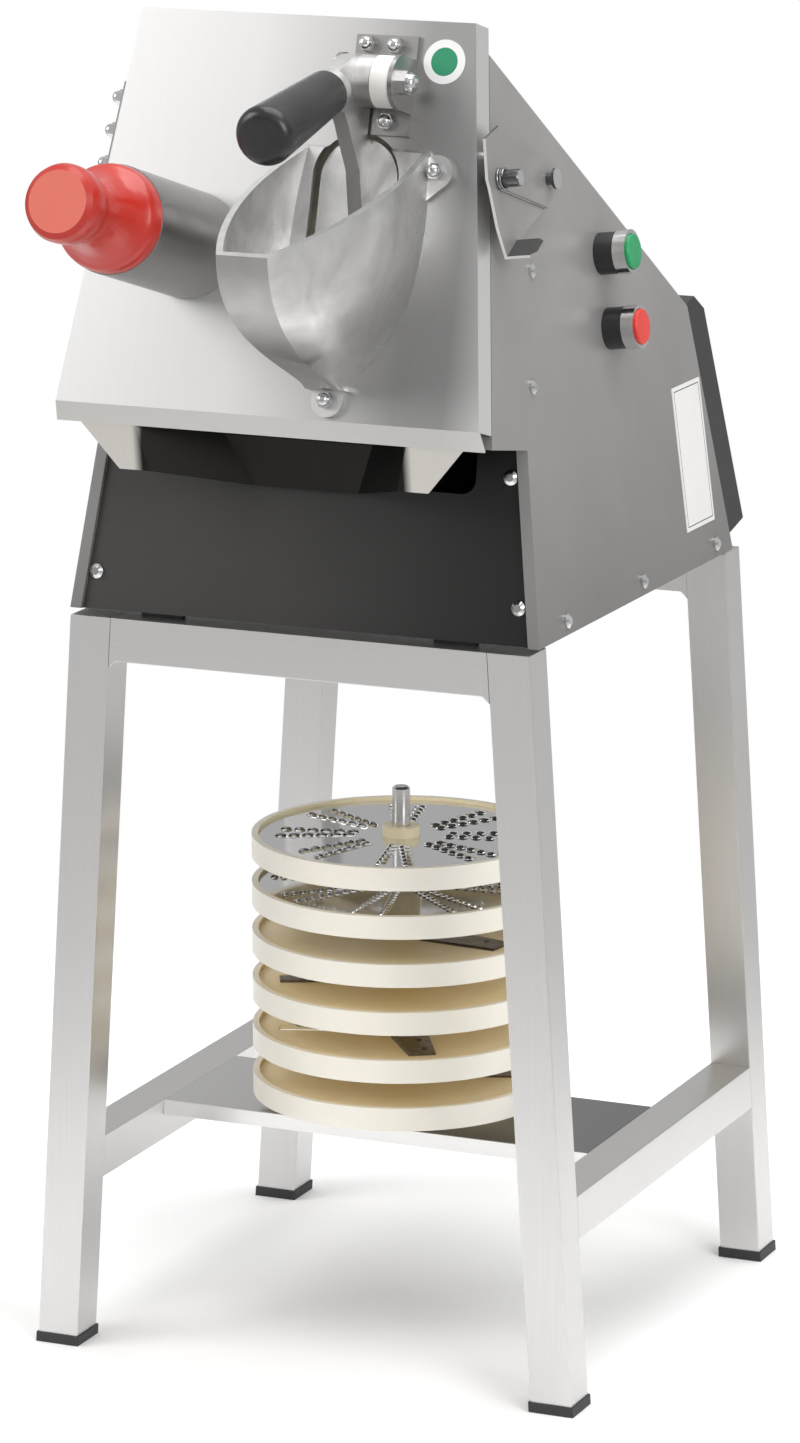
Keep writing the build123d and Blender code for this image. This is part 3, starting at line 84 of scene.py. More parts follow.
paper_centre = (0.0, 0.1, 0.0)
paper_radius = 1.5
fade_start = 0.55
fade_end = 1.3
bpy.ops.mesh.primitive_circle_add(
    vertices=96, radius=paper_radius, fill_type="NGON", location=paper_centre
)
floor = bpy.context.object
floor.name = "studio_floor"
bpy.ops.object.transform_apply(location=True)
paper = bpy.data.materials.new("studio paper")
paper.use_nodes = True
shader = paper.node_tree.nodes["Principled BSDF"]
shader.inputs["Base Color"].default_value = (0.97, 0.97, 0.97, 1)
shader.inputs["Roughness"].default_value = 0.9
shader.inputs["Specular IOR Level"].default_value = 0.0
coord = paper.node_tree.nodes.new("ShaderNodeTexCoord")
offset = paper.node_tree.nodes.new("ShaderNodeVectorMath")
offset.operation = "DISTANCE"
offset.inputs[1].default_value = paper_centre
fade = paper.node_tree.nodes.new("ShaderNodeMapRange")
fade.interpolation_type = "SMOOTHSTEP"
fade.inputs["From Min"].default_value = fade_start
fade.inputs["From Max"].default_value = fade_end
fade.inputs["To Min"].default_value = 1.0
fade.inputs["To Max"].default_value = 0.0
paper.node_tree.links.new(coord.outputs["Object"], offset.inputs[0])
paper.node_tree.links.new(offset.outputs["Value"], fade.inputs["Value"])
paper.node_tree.links.new(fade.outputs["Result"], shader.inputs["Alpha"])
floor.data.materials.append(paper)

for name, place, target, size, power, tint in (
    ("lamp_left", (-2.8, -2.0, 2.3), (0, 0, 0.7), 2.0, 54, (1.0, 0.99, 0.98)),
    ("lamp_top", (0.4, 0.2, 3.4), (0, 0, 0.5), 2.8, 70, (1.0, 1.0, 1.0)),
    ("lamp_right", (2.8, -1.8, 1.9), (0, 0.1, 0.6), 1.6, 46, (1.0, 1.0, 1.0)),
):
    lamp_data = bpy.data.lights.new(name, "AREA")
    lamp_data.size = size
    lamp_data.energy = power
    lamp_data.color = tint
    lamp = bpy.data.objects.new(name, lamp_data)
    scene.collection.objects.link(lamp)
    lamp.location = place
    aim = Vector(target) - Vector(place)
    lamp.rotation_euler = aim.to_track_quat("-Z", "Y").to_euler()

camera_data = bpy.data.cameras.new("photo_camera")
camera_data.lens = 151.2
camera = bpy.data.objects.new("photo_camera", camera_data)
scene.collection.objects.link(camera)
camera.location = (1.6326, -3.6685, 1.3788)
camera.rotation_euler = (radians(76.82), radians(0.09), radians(23.56))
scene.camera = camera
scene.render.resolution_x = 800
scene.render.resolution_y = 1443

# Shared finishes. Each is a group with named sockets that feeds colour, roughness and normal.
# Brushed: fine lines along local Z after the tilt, with slow clouds; Grain stretches the lines.

brushed = bpy.data.node_groups.new("brushed metal", "ShaderNodeTree")
for socket, kind, value in (
    ("Tone", "NodeSocketColor", (0.7, 0.7, 0.7, 1)),
    ("Shade", "NodeSocketColor", (0.6, 0.6, 0.6, 1)),
    ("Grain", "NodeSocketVector", (900, 900, 12)),
    ("Tilt", "NodeSocketFloat", 0.0),
    ("Smooth", "NodeSocketFloat", 0.25),
    ("Rough", "NodeSocketFloat", 0.4),
    ("Depth", "NodeSocketFloat", 0.05),
):
    made = brushed.interface.new_socket(socket, in_out="INPUT", socket_type=kind)
    made.default_value = value
brushed.interface.new_socket("Color", in_out="OUTPUT", socket_type="NodeSocketColor")
brushed.interface.new_socket("Roughness", in_out="OUTPUT", socket_type="NodeSocketFloat")
brushed.interface.new_socket("Normal", in_out="OUTPUT", socket_type="NodeSocketVector")
enter = brushed.nodes.new("NodeGroupInput")
leave = brushed.nodes.new("NodeGroupOutput")
coord = brushed.nodes.new("ShaderNodeTexCoord")
turn = brushed.nodes.new("ShaderNodeVectorRotate")
turn.rotation_type = "X_AXIS"
scale = brushed.nodes.new("ShaderNodeVectorMath")
scale.operation = "MULTIPLY"
lines = brushed.nodes.new("ShaderNodeTexNoise")
lines.inputs["Scale"].default_value = 1.0
lines.inputs["Detail"].default_value = 4.0
clouds = brushed.nodes.new("ShaderNodeTexNoise")
clouds.inputs["Scale"].default_value = 9.0
clouds.inputs["Detail"].default_value = 3.0
blend = brushed.nodes.new("ShaderNodeMath")
blend.operation = "MULTIPLY_ADD"
blend.inputs[1].default_value = 0.55
half_cloud = brushed.nodes.new("ShaderNodeMath")
half_cloud.operation = "MULTIPLY"
half_cloud.inputs[1].default_value = 0.45
colour = brushed.nodes.new("ShaderNodeMix")
colour.data_type = "RGBA"
rough = brushed.nodes.new("ShaderNodeMapRange")
bump = brushed.nodes.new("ShaderNodeBump")
bump.inputs["Distance"].default_value = 0.0002
brushed.links.new(coord.outputs["Object"], turn.inputs["Vector"])
brushed.links.new(enter.outputs["Tilt"], turn.inputs["Angle"])
brushed.links.new(turn.outputs[0], scale.inputs[0])
brushed.links.new(enter.outputs["Grain"], scale.inputs[1])
brushed.links.new(scale.outputs[0], lines.inputs["Vector"])
brushed.links.new(coord.outputs["Object"], clouds.inputs["Vector"])
brushed.links.new(clouds.outputs["Fac"], half_cloud.inputs[0])
brushed.links.new(lines.outputs["Fac"], blend.inputs[0])
brushed.links.new(half_cloud.outputs[0], blend.inputs[2])
brushed.links.new(blend.outputs[0], colour.inputs["Factor"])
brushed.links.new(enter.outputs["Tone"], colour.inputs["A"])
brushed.links.new(enter.outputs["Shade"], colour.inputs["B"])
brushed.links.new(blend.outputs[0], rough.inputs["Value"])
brushed.links.new(enter.outputs["Smooth"], rough.inputs["To Min"])
brushed.links.new(enter.outputs["Rough"], rough.inputs["To Max"])
brushed.links.new(lines.outputs["Fac"], bump.inputs["Height"])
brushed.links.new(enter.outputs["Depth"], bump.inputs["Strength"])
brushed.links.new(colour.outputs["Result"], leave.inputs["Color"])
brushed.links.new(rough.outputs["Result"], leave.inputs["Roughness"])
brushed.links.new(bump.outputs["Normal"], leave.inputs["Normal"])

# Speckled: fine even texture with slow clouds, for paint, rubber, moulded plastic and castings.
# Cloud Size sets how close the patches of colour lie, and Speck Size how fine the relief is.

speckled = bpy.data.node_groups.new("speckled surface", "ShaderNodeTree")
for socket, kind, value in (
    ("Tone", "NodeSocketColor", (0.5, 0.5, 0.5, 1)),
    ("Shade", "NodeSocketColor", (0.4, 0.4, 0.4, 1)),
    ("Cloud Size", "NodeSocketFloat", 12.0),
    ("Speck Size", "NodeSocketFloat", 900.0),
    ("Smooth", "NodeSocketFloat", 0.35),
    ("Rough", "NodeSocketFloat", 0.5),
    ("Depth", "NodeSocketFloat", 0.1),
):
    made = speckled.interface.new_socket(socket, in_out="INPUT", socket_type=kind)
    made.default_value = value
speckled.interface.new_socket("Color", in_out="OUTPUT", socket_type="NodeSocketColor")
speckled.interface.new_socket("Roughness", in_out="OUTPUT", socket_type="NodeSocketFloat")
speckled.interface.new_socket("Normal", in_out="OUTPUT", socket_type="NodeSocketVector")
enter = speckled.nodes.new("NodeGroupInput")
leave = speckled.nodes.new("NodeGroupOutput")
coord = speckled.nodes.new("ShaderNodeTexCoord")
clouds = speckled.nodes.new("ShaderNodeTexNoise")
clouds.inputs["Detail"].default_value = 5.0
clouds.inputs["Distortion"].default_value = 0.6
specks = speckled.nodes.new("ShaderNodeTexNoise")
specks.inputs["Detail"].default_value = 2.0
spread = speckled.nodes.new("ShaderNodeMapRange")
spread.inputs["From Min"].default_value = 0.32
spread.inputs["From Max"].default_value = 0.68
colour = speckled.nodes.new("ShaderNodeMix")
colour.data_type = "RGBA"
rough = speckled.nodes.new("ShaderNodeMapRange")
bump = speckled.nodes.new("ShaderNodeBump")
bump.inputs["Distance"].default_value = 0.0003
speckled.links.new(coord.outputs["Object"], clouds.inputs["Vector"])
speckled.links.new(coord.outputs["Object"], specks.inputs["Vector"])
speckled.links.new(enter.outputs["Cloud Size"], clouds.inputs["Scale"])
speckled.links.new(enter.outputs["Speck Size"], specks.inputs["Scale"])
speckled.links.new(clouds.outputs["Fac"], spread.inputs["Value"])
speckled.links.new(spread.outputs["Result"], colour.inputs["Factor"])
speckled.links.new(enter.outputs["Tone"], colour.inputs["A"])
speckled.links.new(enter.outputs["Shade"], colour.inputs["B"])
speckled.links.new(spread.outputs["Result"], rough.inputs["Value"])
speckled.links.new(enter.outputs["Smooth"], rough.inputs["To Min"])
speckled.links.new(enter.outputs["Rough"], rough.inputs["To Max"])
speckled.links.new(specks.outputs["Fac"], bump.inputs["Height"])
speckled.links.new(enter.outputs["Depth"], bump.inputs["Strength"])
speckled.links.new(colour.outputs["Result"], leave.inputs["Color"])
speckled.links.new(rough.outputs["Result"], leave.inputs["Roughness"])
speckled.links.new(bump.outputs["Normal"], leave.inputs["Normal"])

# Edges of every carried-over solid: facets joined, curves smooth and sharp edges kept crisp.
# Folded and cast pieces get a hairline round. Flat sheets are joined to whole faces first, and
# keep flat shading up to their folds, because large faces weigh most in each normal.

tube_round = 0.0015
sheet_round = 0.0005
round_from = radians(35)
crease = radians(32)
casting_crease = radians(18)
folded_or_cast = (
    "stand_legs", "stand_rails", "door_panel", "right_side_panel", "left_side_panel",
    "lower_front_panel", "hopper", "lever_arm", "discharge_chute", "latch_plate",
    "shelf_plate", "foot_caps", "feed_tube", "rear_cover", "sloping_cover",
)
flat_sheets = (
    "stand_legs", "stand_rails", "door_panel", "right_side_panel", "left_side_panel",
    "lower_front_panel", "shelf_plate", "sloping_cover", "discharge_chute",
)
for name, piece in nodes.items():
    bpy.ops.object.select_all(action="DESELECT")
    piece.select_set(True)
    bpy.context.view_layer.objects.active = piece
    bpy.ops.mesh.customdata_custom_splitnormals_clear()
    bpy.ops.object.shade_smooth()
    weld = piece.modifiers.new("joined facets", "WELD")
    weld.merge_threshold = 0.00001
    if name in flat_sheets:
        whole = piece.modifiers.new("whole faces", "DECIMATE")
        whole.decimate_type = "DISSOLVE"
        whole.angle_limit = radians(0.6)
    if name in folded_or_cast:
        edge = piece.modifiers.new("rounded edges", "BEVEL")
        edge.width = tube_round if name in ("stand_legs", "stand_rails") else sheet_round
        edge.segments = 2
        edge.limit_method = "ANGLE"
        edge.angle_limit = round_from
        edge.use_clamp_overlap = True
    crisp = piece.modifiers.new("crisp edges", "EDGE_SPLIT")
    crisp.split_angle = casting_crease if name == "hopper" else crease
    if name in folded_or_cast:
        flat = piece.modifiers.new("flat faces", "WEIGHTED_NORMAL")
        flat.mode = "FACE_AREA"
        flat.weight = 90
        flat.keep_sharp = True

# Stand: square stainless tube, welded at the corners and ground, the grain running along the legs.
# The rails and stretchers are the same tube with the grain across. Rubber caps close the feet.


def finish_pieces(title, group, metallic, tone, shade, values, names=()):
    """Gives the named pieces a material whose colour, roughness and relief vary by the group."""
    material = bpy.data.materials.new(title)
    material.use_nodes = True
    shader = material.node_tree.nodes["Principled BSDF"]
    shader.inputs["Metallic"].default_value = metallic
    finish = material.node_tree.nodes.new("ShaderNodeGroup")
    finish.node_tree = group
    finish.inputs["Tone"].default_value = (*tone, 1)
    finish.inputs["Shade"].default_value = (*shade, 1)
    for socket, value in values.items():
        finish.inputs[socket].default_value = value
    for result, target in (
        ("Color", "Base Color"), ("Roughness", "Roughness"), ("Normal", "Normal"),
    ):
        material.node_tree.links.new(finish.outputs[result], shader.inputs[target])
    for name in names:
        nodes[name].data.materials.clear()
        nodes[name].data.materials.append(material)
    return material


finish_pieces(
    "leg steel", brushed, 1.0, (0.74, 0.73, 0.72), (0.64, 0.63, 0.62),
    {"Grain": (700, 700, 9), "Smooth": 0.26, "Rough": 0.4, "Depth": 0.06},
    ("stand_legs",),
)
finish_pieces(
    "rail steel", brushed, 1.0, (0.75, 0.74, 0.73), (0.65, 0.64, 0.63),
    {"Grain": (9, 700, 700), "Smooth": 0.26, "Rough": 0.4, "Depth": 0.06},
    ("stand_rails",),
)
finish_pieces(
    "cap rubber", speckled, 0.0, (0.018, 0.018, 0.02), (0.03, 0.03, 0.032),
    {"Cloud Size": 40, "Speck Size": 1400, "Smooth": 0.45, "Rough": 0.65, "Depth": 0.25},
    ("foot_caps", "body_spacers"),
)

# Shelf and spindle: a folded stainless sheet between the stretchers and a turned steel rod.
# The sheet keeps its mill finish, brighter and smoother than the ground tube.


def paint_shade_along(material, axis, stops):
    """Paints shade: multiplies the colour by greys at given places along one of the object's axes.
    """
    tree = material.node_tree
    shader = tree.nodes["Principled BSDF"]
    plain_colour = shader.inputs["Base Color"].links[0].from_socket
    coord = tree.nodes.new("ShaderNodeTexCoord")
    split = tree.nodes.new("ShaderNodeSeparateXYZ")
    span = tree.nodes.new("ShaderNodeMapRange")
    ramp = tree.nodes.new("ShaderNodeValToRGB")
    product = tree.nodes.new("ShaderNodeMix")
    product.data_type = "RGBA"
    product.blend_type = "MULTIPLY"
    product.inputs["Factor"].default_value = 1.0
    first = stops[0][0]
    last = stops[-1][0]
    span.inputs["From Min"].default_value = first
    span.inputs["From Max"].default_value = last
    marks = ramp.color_ramp.elements
    for index, (place, grey) in enumerate(stops):
        mark = marks[index] if index < 2 else marks.new(1.0)
        mark.position = (place - first) / (last - first)
        mark.color = (grey, grey, grey, 1)
    tree.links.new(coord.outputs["Object"], split.inputs[0])
    tree.links.new(split.outputs[axis], span.inputs["Value"])
    tree.links.new(span.outputs["Result"], ramp.inputs[0])
    tree.links.new(plain_colour, product.inputs["A"])
    tree.links.new(ramp.outputs["Color"], product.inputs["B"])
    tree.links.new(product.outputs["Result"], shader.inputs["Base Color"])


def paint_light_facing(material, direction, start, end, tint, amount):
    """Paints highlights and shades: mixes a colour into the faces that look along a direction of
    the object.
    """
    tree = material.node_tree
    shader = tree.nodes["Principled BSDF"]
    plain_colour = shader.inputs["Base Color"].links[0].from_socket
    coord = tree.nodes.new("ShaderNodeTexCoord")
    facing = tree.nodes.new("ShaderNodeVectorMath")
    facing.operation = "DOT_PRODUCT"
    facing.inputs[1].default_value = direction
    share = tree.nodes.new("ShaderNodeMapRange")
    share.inputs["From Min"].default_value = start
    share.inputs["From Max"].default_value = end
    share.inputs["To Max"].default_value = amount
    blended = tree.nodes.new("ShaderNodeMix")
    blended.data_type = "RGBA"
    blended.inputs["B"].default_value = (*tint, 1)
    tree.links.new(coord.outputs["Normal"], facing.inputs[0])
    tree.links.new(facing.outputs["Value"], share.inputs["Value"])
    tree.links.new(share.outputs["Result"], blended.inputs["Factor"])
    tree.links.new(plain_colour, blended.inputs["A"])
    tree.links.new(blended.outputs["Result"], shader.inputs["Base Color"])


shelf_sheet = finish_pieces(
    "shelf sheet", brushed, 1.0, (0.78, 0.77, 0.76), (0.66, 0.65, 0.64),
    {"Grain": (14, 600, 600), "Smooth": 0.14, "Rough": 0.26, "Depth": 0.04},
    ("shelf_plate",),
)
# Painted shade: the shelf sheet darkens towards the right, and the faces that look forward get a
# painted highlight.
paint_shade_along(shelf_sheet, "X", ((-0.17, 1.0), (-0.1, 0.9), (-0.03, 0.45), (0.17, 0.3)))
paint_light_facing(shelf_sheet, (0, -1, 0), 0.8, 0.95, (0.74, 0.73, 0.72), 1.0)
finish_pieces(
    "turned steel", brushed, 1.0, (0.74, 0.74, 0.74), (0.62, 0.62, 0.62),
    {"Grain": (60, 60, 900), "Smooth": 0.16, "Rough": 0.3, "Depth": 0.05},
    ("disc_spindle", "main_shaft", "shaft_bearings", "disc_nut", "catch_stud"),
)

# Body: folded sheet painted warm grey, satin, with fine orange peel from spraying.
# The lower front and rear panels are the same paint, darker, with painted shade deepening towards
# the right.

panel_paint = finish_pieces(
    "panel paint", speckled, 0.35, (0.38, 0.37, 0.36), (0.34, 0.331, 0.323),
    {"Cloud Size": 7, "Speck Size": 520, "Smooth": 0.34, "Rough": 0.44, "Depth": 0.06},
    ("right_side_panel", "left_side_panel", "sloping_cover"),
)
# Painted shade: the side panels and sloping cover darken towards the bottom.
paint_shade_along(panel_paint, "Z", ((0.52, 0.62), (0.64, 0.85), (0.78, 1.0), (0.93, 1.0)))
front_paint = finish_pieces(
    "front paint", speckled, 0.3, (0.072, 0.069, 0.067), (0.058, 0.056, 0.054),
    {"Cloud Size": 6, "Speck Size": 520, "Smooth": 0.33, "Rough": 0.42, "Depth": 0.06},
    ("lower_front_panel", "rear_panel", "base_plate"),
)
# Painted reflection: the lower front panel, rear panel and base plate grow darker towards the
# right.
paint_shade_along(front_paint, "X", ((-0.18, 1.0), (-0.02, 0.8), (0.1, 0.35), (0.18, 0.12)))
finish_pieces(
    "chrome steel", speckled, 1.0, (0.74, 0.74, 0.74), (0.56, 0.56, 0.56),
    {"Cloud Size": 60, "Speck Size": 1500, "Smooth": 0.1, "Rough": 0.22, "Depth": 0.05},
    ("dome_screws", "door_nuts", "pivot_bolt", "button_bezels"),
)

# Rating plate: a thin white enamelled plate near the rear edge of the right panel, glued on,
# with a dark printed line round its field.


def select_facing(piece, direction):
    """Opens a piece for editing with only those faces selected that look along a direction."""
    bpy.ops.object.mode_set(mode="EDIT")
    bpy.ops.mesh.select_mode(type="FACE")
    mesh = bmesh.from_edit_mesh(piece.data)
    for face in mesh.faces:
        face.select = face.normal.dot(direction) > 0.9
    bmesh.update_edit_mesh(piece.data)


def paint_selected(piece, slot):
    """Gives the selected faces of a piece that is open for editing one of its materials."""
    piece.active_material_index = slot
    bpy.ops.object.material_slot_assign()


up = Vector((0, 0, 1))
body_lean = 0.1285
side_normal = Vector((cos(atan(body_lean)), 0, sin(atan(body_lean))))
side_up = Vector((-side_normal.z, 0, side_normal.x))
side_foot = Vector((0.171, 0.0955, 0.522))
plate_width = 0.053
plate_height = 0.101
plate_sheet = 0.0005
plate_back = 0.1165
plate_rise = 0.077
plate_border = 0.0028
line_width = 0.0007
plate_enamel = finish_pieces(
    "plate enamel", speckled, 0.0, (0.83, 0.82, 0.81), (0.78, 0.771, 0.761),
    {"Smooth": 0.35, "Rough": 0.43, "Depth": 0.03},
)
plate_line = finish_pieces(
    "plate line", speckled, 0.0, (0.05, 0.05, 0.05), (0.047, 0.047, 0.047),
    {"Smooth": 0.5, "Rough": 0.58, "Depth": 0.03},
)
bpy.ops.mesh.primitive_cube_add(size=1)
rating_plate = bpy.context.object
rating_plate.name = "rating_plate"
rating_plate.scale = (plate_width, plate_height, plate_sheet)
bpy.ops.object.transform_apply(scale=True)
rating_plate.data.materials.append(plate_enamel)
rating_plate.data.materials.append(plate_line)
select_facing(rating_plate, up)
bpy.ops.mesh.inset(thickness=plate_border, depth=0)
paint_selected(rating_plate, 1)
bpy.ops.mesh.inset(thickness=line_width, depth=0)
paint_selected(rating_plate, 0)
bpy.ops.object.mode_set(mode="OBJECT")
plate_place = side_foot + Vector((0, plate_back, 0)) + side_up * plate_rise
plate_place = plate_place + side_normal * (plate_sheet / 2)
plate_turn = Matrix((Vector((0, 1, 0)), side_up, side_normal)).transposed().to_4x4()
rating_plate.matrix_world = Matrix.Translation(plate_place) @ plate_turn
bpy.ops.object.transform_apply(location=True, rotation=True)
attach(rating_plate, "machine")

# Chamber, chute and drive: cast aluminium housing behind the door, a folded stainless chute below
# with its two bent tabs, and the motor, pulleys and belt inside the body. The chute's grain leans
# as the door does, and its middle between the tabs is painted near-black as painted shade.

door_tilt = 0.2761
finish_pieces(
    "housing casting", speckled, 1.0, (0.2, 0.2, 0.2), (0.14, 0.14, 0.14),
    {"Cloud Size": 18, "Speck Size": 700, "Smooth": 0.4, "Rough": 0.58, "Depth": 0.4},
    ("chamber_housing",),
)
chute_steel = finish_pieces(
    "chute steel", brushed, 1.0, (0.78, 0.75, 0.71), (0.7, 0.67, 0.63),
    {"Grain": (500, 14, 14), "Tilt": door_tilt, "Smooth": 0.34, "Rough": 0.48, "Depth": 0.05},
    ("discharge_chute",),
)
# Painted shade: the chute steel is near-black between the tabs, where the inside lies in shadow.
paint_shade_along(
    chute_steel, "X",
    ((-0.15, 1.0), (-0.1, 1.0), (-0.094, 0.03), (0.094, 0.03), (0.1, 1.0), (0.15, 1.0)),
)
finish_pieces(
    "motor paint", speckled, 0.0, (0.14, 0.15, 0.16), (0.11, 0.12, 0.13),
    {"Cloud Size": 14, "Speck Size": 600, "Smooth": 0.35, "Rough": 0.5, "Depth": 0.2},
    ("motor",),
)
finish_pieces(
    "pulley iron", speckled, 1.0, (0.24, 0.24, 0.24), (0.17, 0.17, 0.17),
    {"Cloud Size": 30, "Speck Size": 900, "Smooth": 0.35, "Rough": 0.55, "Depth": 0.3},
    ("motor_pulley", "shaft_pulley"),
)
finish_pieces(
    "belt rubber", speckled, 0.0, (0.02, 0.02, 0.02), (0.035, 0.034, 0.033),
    {"Cloud Size": 50, "Speck Size": 1600, "Smooth": 0.6, "Rough": 0.8, "Depth": 0.4},
    ("drive_belt",),
)

# Door: a folded stainless panel, brushed up and down, with its hinge leaves and lever bracket.
# The grain follows the leaning plane, and painted reflection darkens the steel towards the latch
# side.

door_steel = finish_pieces(
    "door steel", brushed, 1.0, (0.78, 0.775, 0.77), (0.72, 0.715, 0.71),
    {"Grain": (800, 800, 7), "Tilt": door_tilt, "Smooth": 0.32, "Rough": 0.44, "Depth": 0.05},
    ("door_panel",),
)
# Painted reflection: the door is darker towards the latch side and lighter again at the right
# flange.
paint_shade_along(
    door_steel, "X",
    ((-0.175, 1.0), (-0.03, 0.98), (0.04, 0.78), (0.09, 0.5), (0.125, 0.5), (0.15, 0.9)),
)
# Painted shade on the bottom band, which looks down and forward.
paint_light_facing(door_steel, (0, -0.92, -0.4), 0.88, 0.96, (0.5, 0.49, 0.475), 0.85)
# Painted highlight on the right flange, which looks to the side.
paint_light_facing(door_steel, (1, 0, 0.1), 0.85, 0.96, (0.97, 0.97, 0.96), 1.0)
finish_pieces(
    "bracket steel", brushed, 1.0, (0.42, 0.415, 0.41), (0.3, 0.295, 0.29),
    {"Grain": (500, 20, 500), "Tilt": door_tilt, "Smooth": 0.26, "Rough": 0.42, "Depth": 0.08},
    ("lever_bracket", "door_hinge_leaf", "body_hinge_leaf"),
)

# Round sticker: a printed foil disc on the door's upper right, plain white with a green middle.
# The green is a second material on the face inside the white ring.

door_foot = Vector((0, -0.1484, 0.6742))
door_up = Vector((0, sin(door_tilt), cos(door_tilt)))
door_normal = Vector((0, -cos(door_tilt), sin(door_tilt)))
sticker_radius = 0.0145
sticker_foil = 0.0004
sticker_right = 0.100
sticker_rise = 0.237
white_ring = 0.0052
sticker_white = finish_pieces(
    "sticker white", speckled, 0.0, (0.85, 0.86, 0.85), (0.79, 0.8, 0.79),
    {"Smooth": 0.3, "Rough": 0.4, "Depth": 0.02},
)
sticker_green = finish_pieces(
    "sticker green", speckled, 0.0, (0.02, 0.27, 0.13), (0.0186, 0.251, 0.121),
    {"Smooth": 0.3, "Rough": 0.4, "Depth": 0.02},
)
bpy.ops.mesh.primitive_cylinder_add(vertices=72, radius=sticker_radius, depth=sticker_foil)
sticker = bpy.context.object
sticker.name = "door_sticker"
sticker.data.materials.append(sticker_white)
sticker.data.materials.append(sticker_green)
select_facing(sticker, up)
bpy.ops.mesh.inset(thickness=white_ring, depth=0)
paint_selected(sticker, 1)
bpy.ops.object.mode_set(mode="OBJECT")
sticker_place = door_foot + Vector((sticker_right, 0, 0)) + door_up * sticker_rise
sticker_place = sticker_place + door_normal * (sticker_foil / 2)
sticker_turn = Matrix.Rotation(pi / 2 - door_tilt, 4, "X")
sticker.matrix_world = Matrix.Translation(sticker_place) @ sticker_turn
bpy.ops.object.transform_apply(location=True, rotation=True)
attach(sticker, "door")

# Feed tube and pusher: seamless stainless tube, polished round, and a salmon-red moulded pusher.
# The pusher is turned smooth and glossy.

# Painted reflection: the polished tube's steel is toned dark for the dark surroundings it
# reflects.
finish_pieces(
    "tube steel", brushed, 1.0, (0.42, 0.415, 0.41), (0.3, 0.295, 0.29),
    {"Grain": (12, 500, 12), "Tilt": door_tilt, "Smooth": 0.2, "Rough": 0.32, "Depth": 0.05},
    ("feed_tube",),
)
pusher_plastic = finish_pieces(
    "pusher plastic", speckled, 0.0, (0.5, 0.026, 0.015), (0.43, 0.02, 0.012),
    {"Cloud Size": 9, "Speck Size": 800, "Smooth": 0.24, "Rough": 0.34, "Depth": 0.05},
    ("pusher",),
)
shader = pusher_plastic.node_tree.nodes["Principled BSDF"]
shader.inputs["Coat Weight"].default_value = 0.25
shader.inputs["Coat Roughness"].default_value = 0.12
# Painted highlight: the pusher's end face, which looks up along the door, is painted a lighter
# salmon.
paint_light_facing(pusher_plastic, tuple(door_normal), 0.93, 0.97, (0.74, 0.2, 0.14), 0.7)

# Hopper and lever: aluminium castings, ground by hand, so the shine is cloudy and uneven.
# The grip is a turned black bakelite handle, and the pivot runs in a white plastic bush.

ground_casting = finish_pieces(
    "ground casting", speckled, 1.0, (0.84, 0.835, 0.83), (0.56, 0.555, 0.55),
    {"Cloud Size": 26, "Speck Size": 420, "Smooth": 0.26, "Rough": 0.46, "Depth": 0.25},
    ("hopper", "lever_arm"),
)
# Painted shade: the faces of the hopper and lever that look down and forward are darkened.
paint_light_facing(ground_casting, (0, -0.75, -0.66), 0.66, 0.8, (0.34, 0.335, 0.33), 0.8)
finish_pieces(
    "grip bakelite", speckled, 0.0, (0.014, 0.013, 0.014), (0.026, 0.025, 0.026),
    {"Cloud Size": 24, "Speck Size": 1000, "Smooth": 0.24, "Rough": 0.38, "Depth": 0.12},
    ("lever_grip",),
)
finish_pieces(
    "bush plastic", speckled, 0.0, (0.84, 0.83, 0.79), (0.78, 0.77, 0.73),
    {"Cloud Size": 22, "Speck Size": 900, "Smooth": 0.38, "Rough": 0.5, "Depth": 0.08},
    ("lever_bush",),
)

# Latch: a bent plate in the body's paint on a steel post, with its wire spring.
# Faces that look forward get a painted highlight, the slope that looks up a painted dark
# reflection, and the stud ends a painted highlight.

latch_paint = finish_pieces(
    "latch paint", speckled, 0.35, (0.36, 0.35, 0.342), (0.31, 0.302, 0.295),
    {"Cloud Size": 9, "Speck Size": 520, "Smooth": 0.3, "Rough": 0.4, "Depth": 0.06},
    ("latch_plate",),
)
# Painted dark reflection on the slope that looks up, and a painted highlight on the faces that
# look forward.
paint_light_facing(latch_paint, (-0.1, -0.4, 0.9), 0.8, 0.95, (0.03, 0.03, 0.03), 0.9)
paint_light_facing(latch_paint, (0, -1, 0), 0.75, 0.95, (0.75, 0.74, 0.73), 0.9)
stud_steel = finish_pieces(
    "stud steel", speckled, 1.0, (0.17, 0.17, 0.17), (0.1, 0.1, 0.1),
    {"Cloud Size": 60, "Speck Size": 1500, "Smooth": 0.16, "Rough": 0.3, "Depth": 0.05},
    ("latch_post", "latch_stud"),
)
# Painted highlight: the end faces of the stud and post, which look out from the side, are painted
# light.
paint_light_facing(stud_steel, tuple(side_normal), 0.85, 0.97, (0.8, 0.8, 0.8), 1.0)
finish_pieces(
    "spring wire", speckled, 1.0, (0.34, 0.34, 0.34), (0.24, 0.24, 0.24),
    {"Cloud Size": 60, "Speck Size": 1500, "Smooth": 0.18, "Rough": 0.3, "Depth": 0.05},
    ("latch_spring",),
)

# Push buttons and rear cover: black moulded collars and tray, a green and a red cap.
# The collars' ribs are relief in the material.

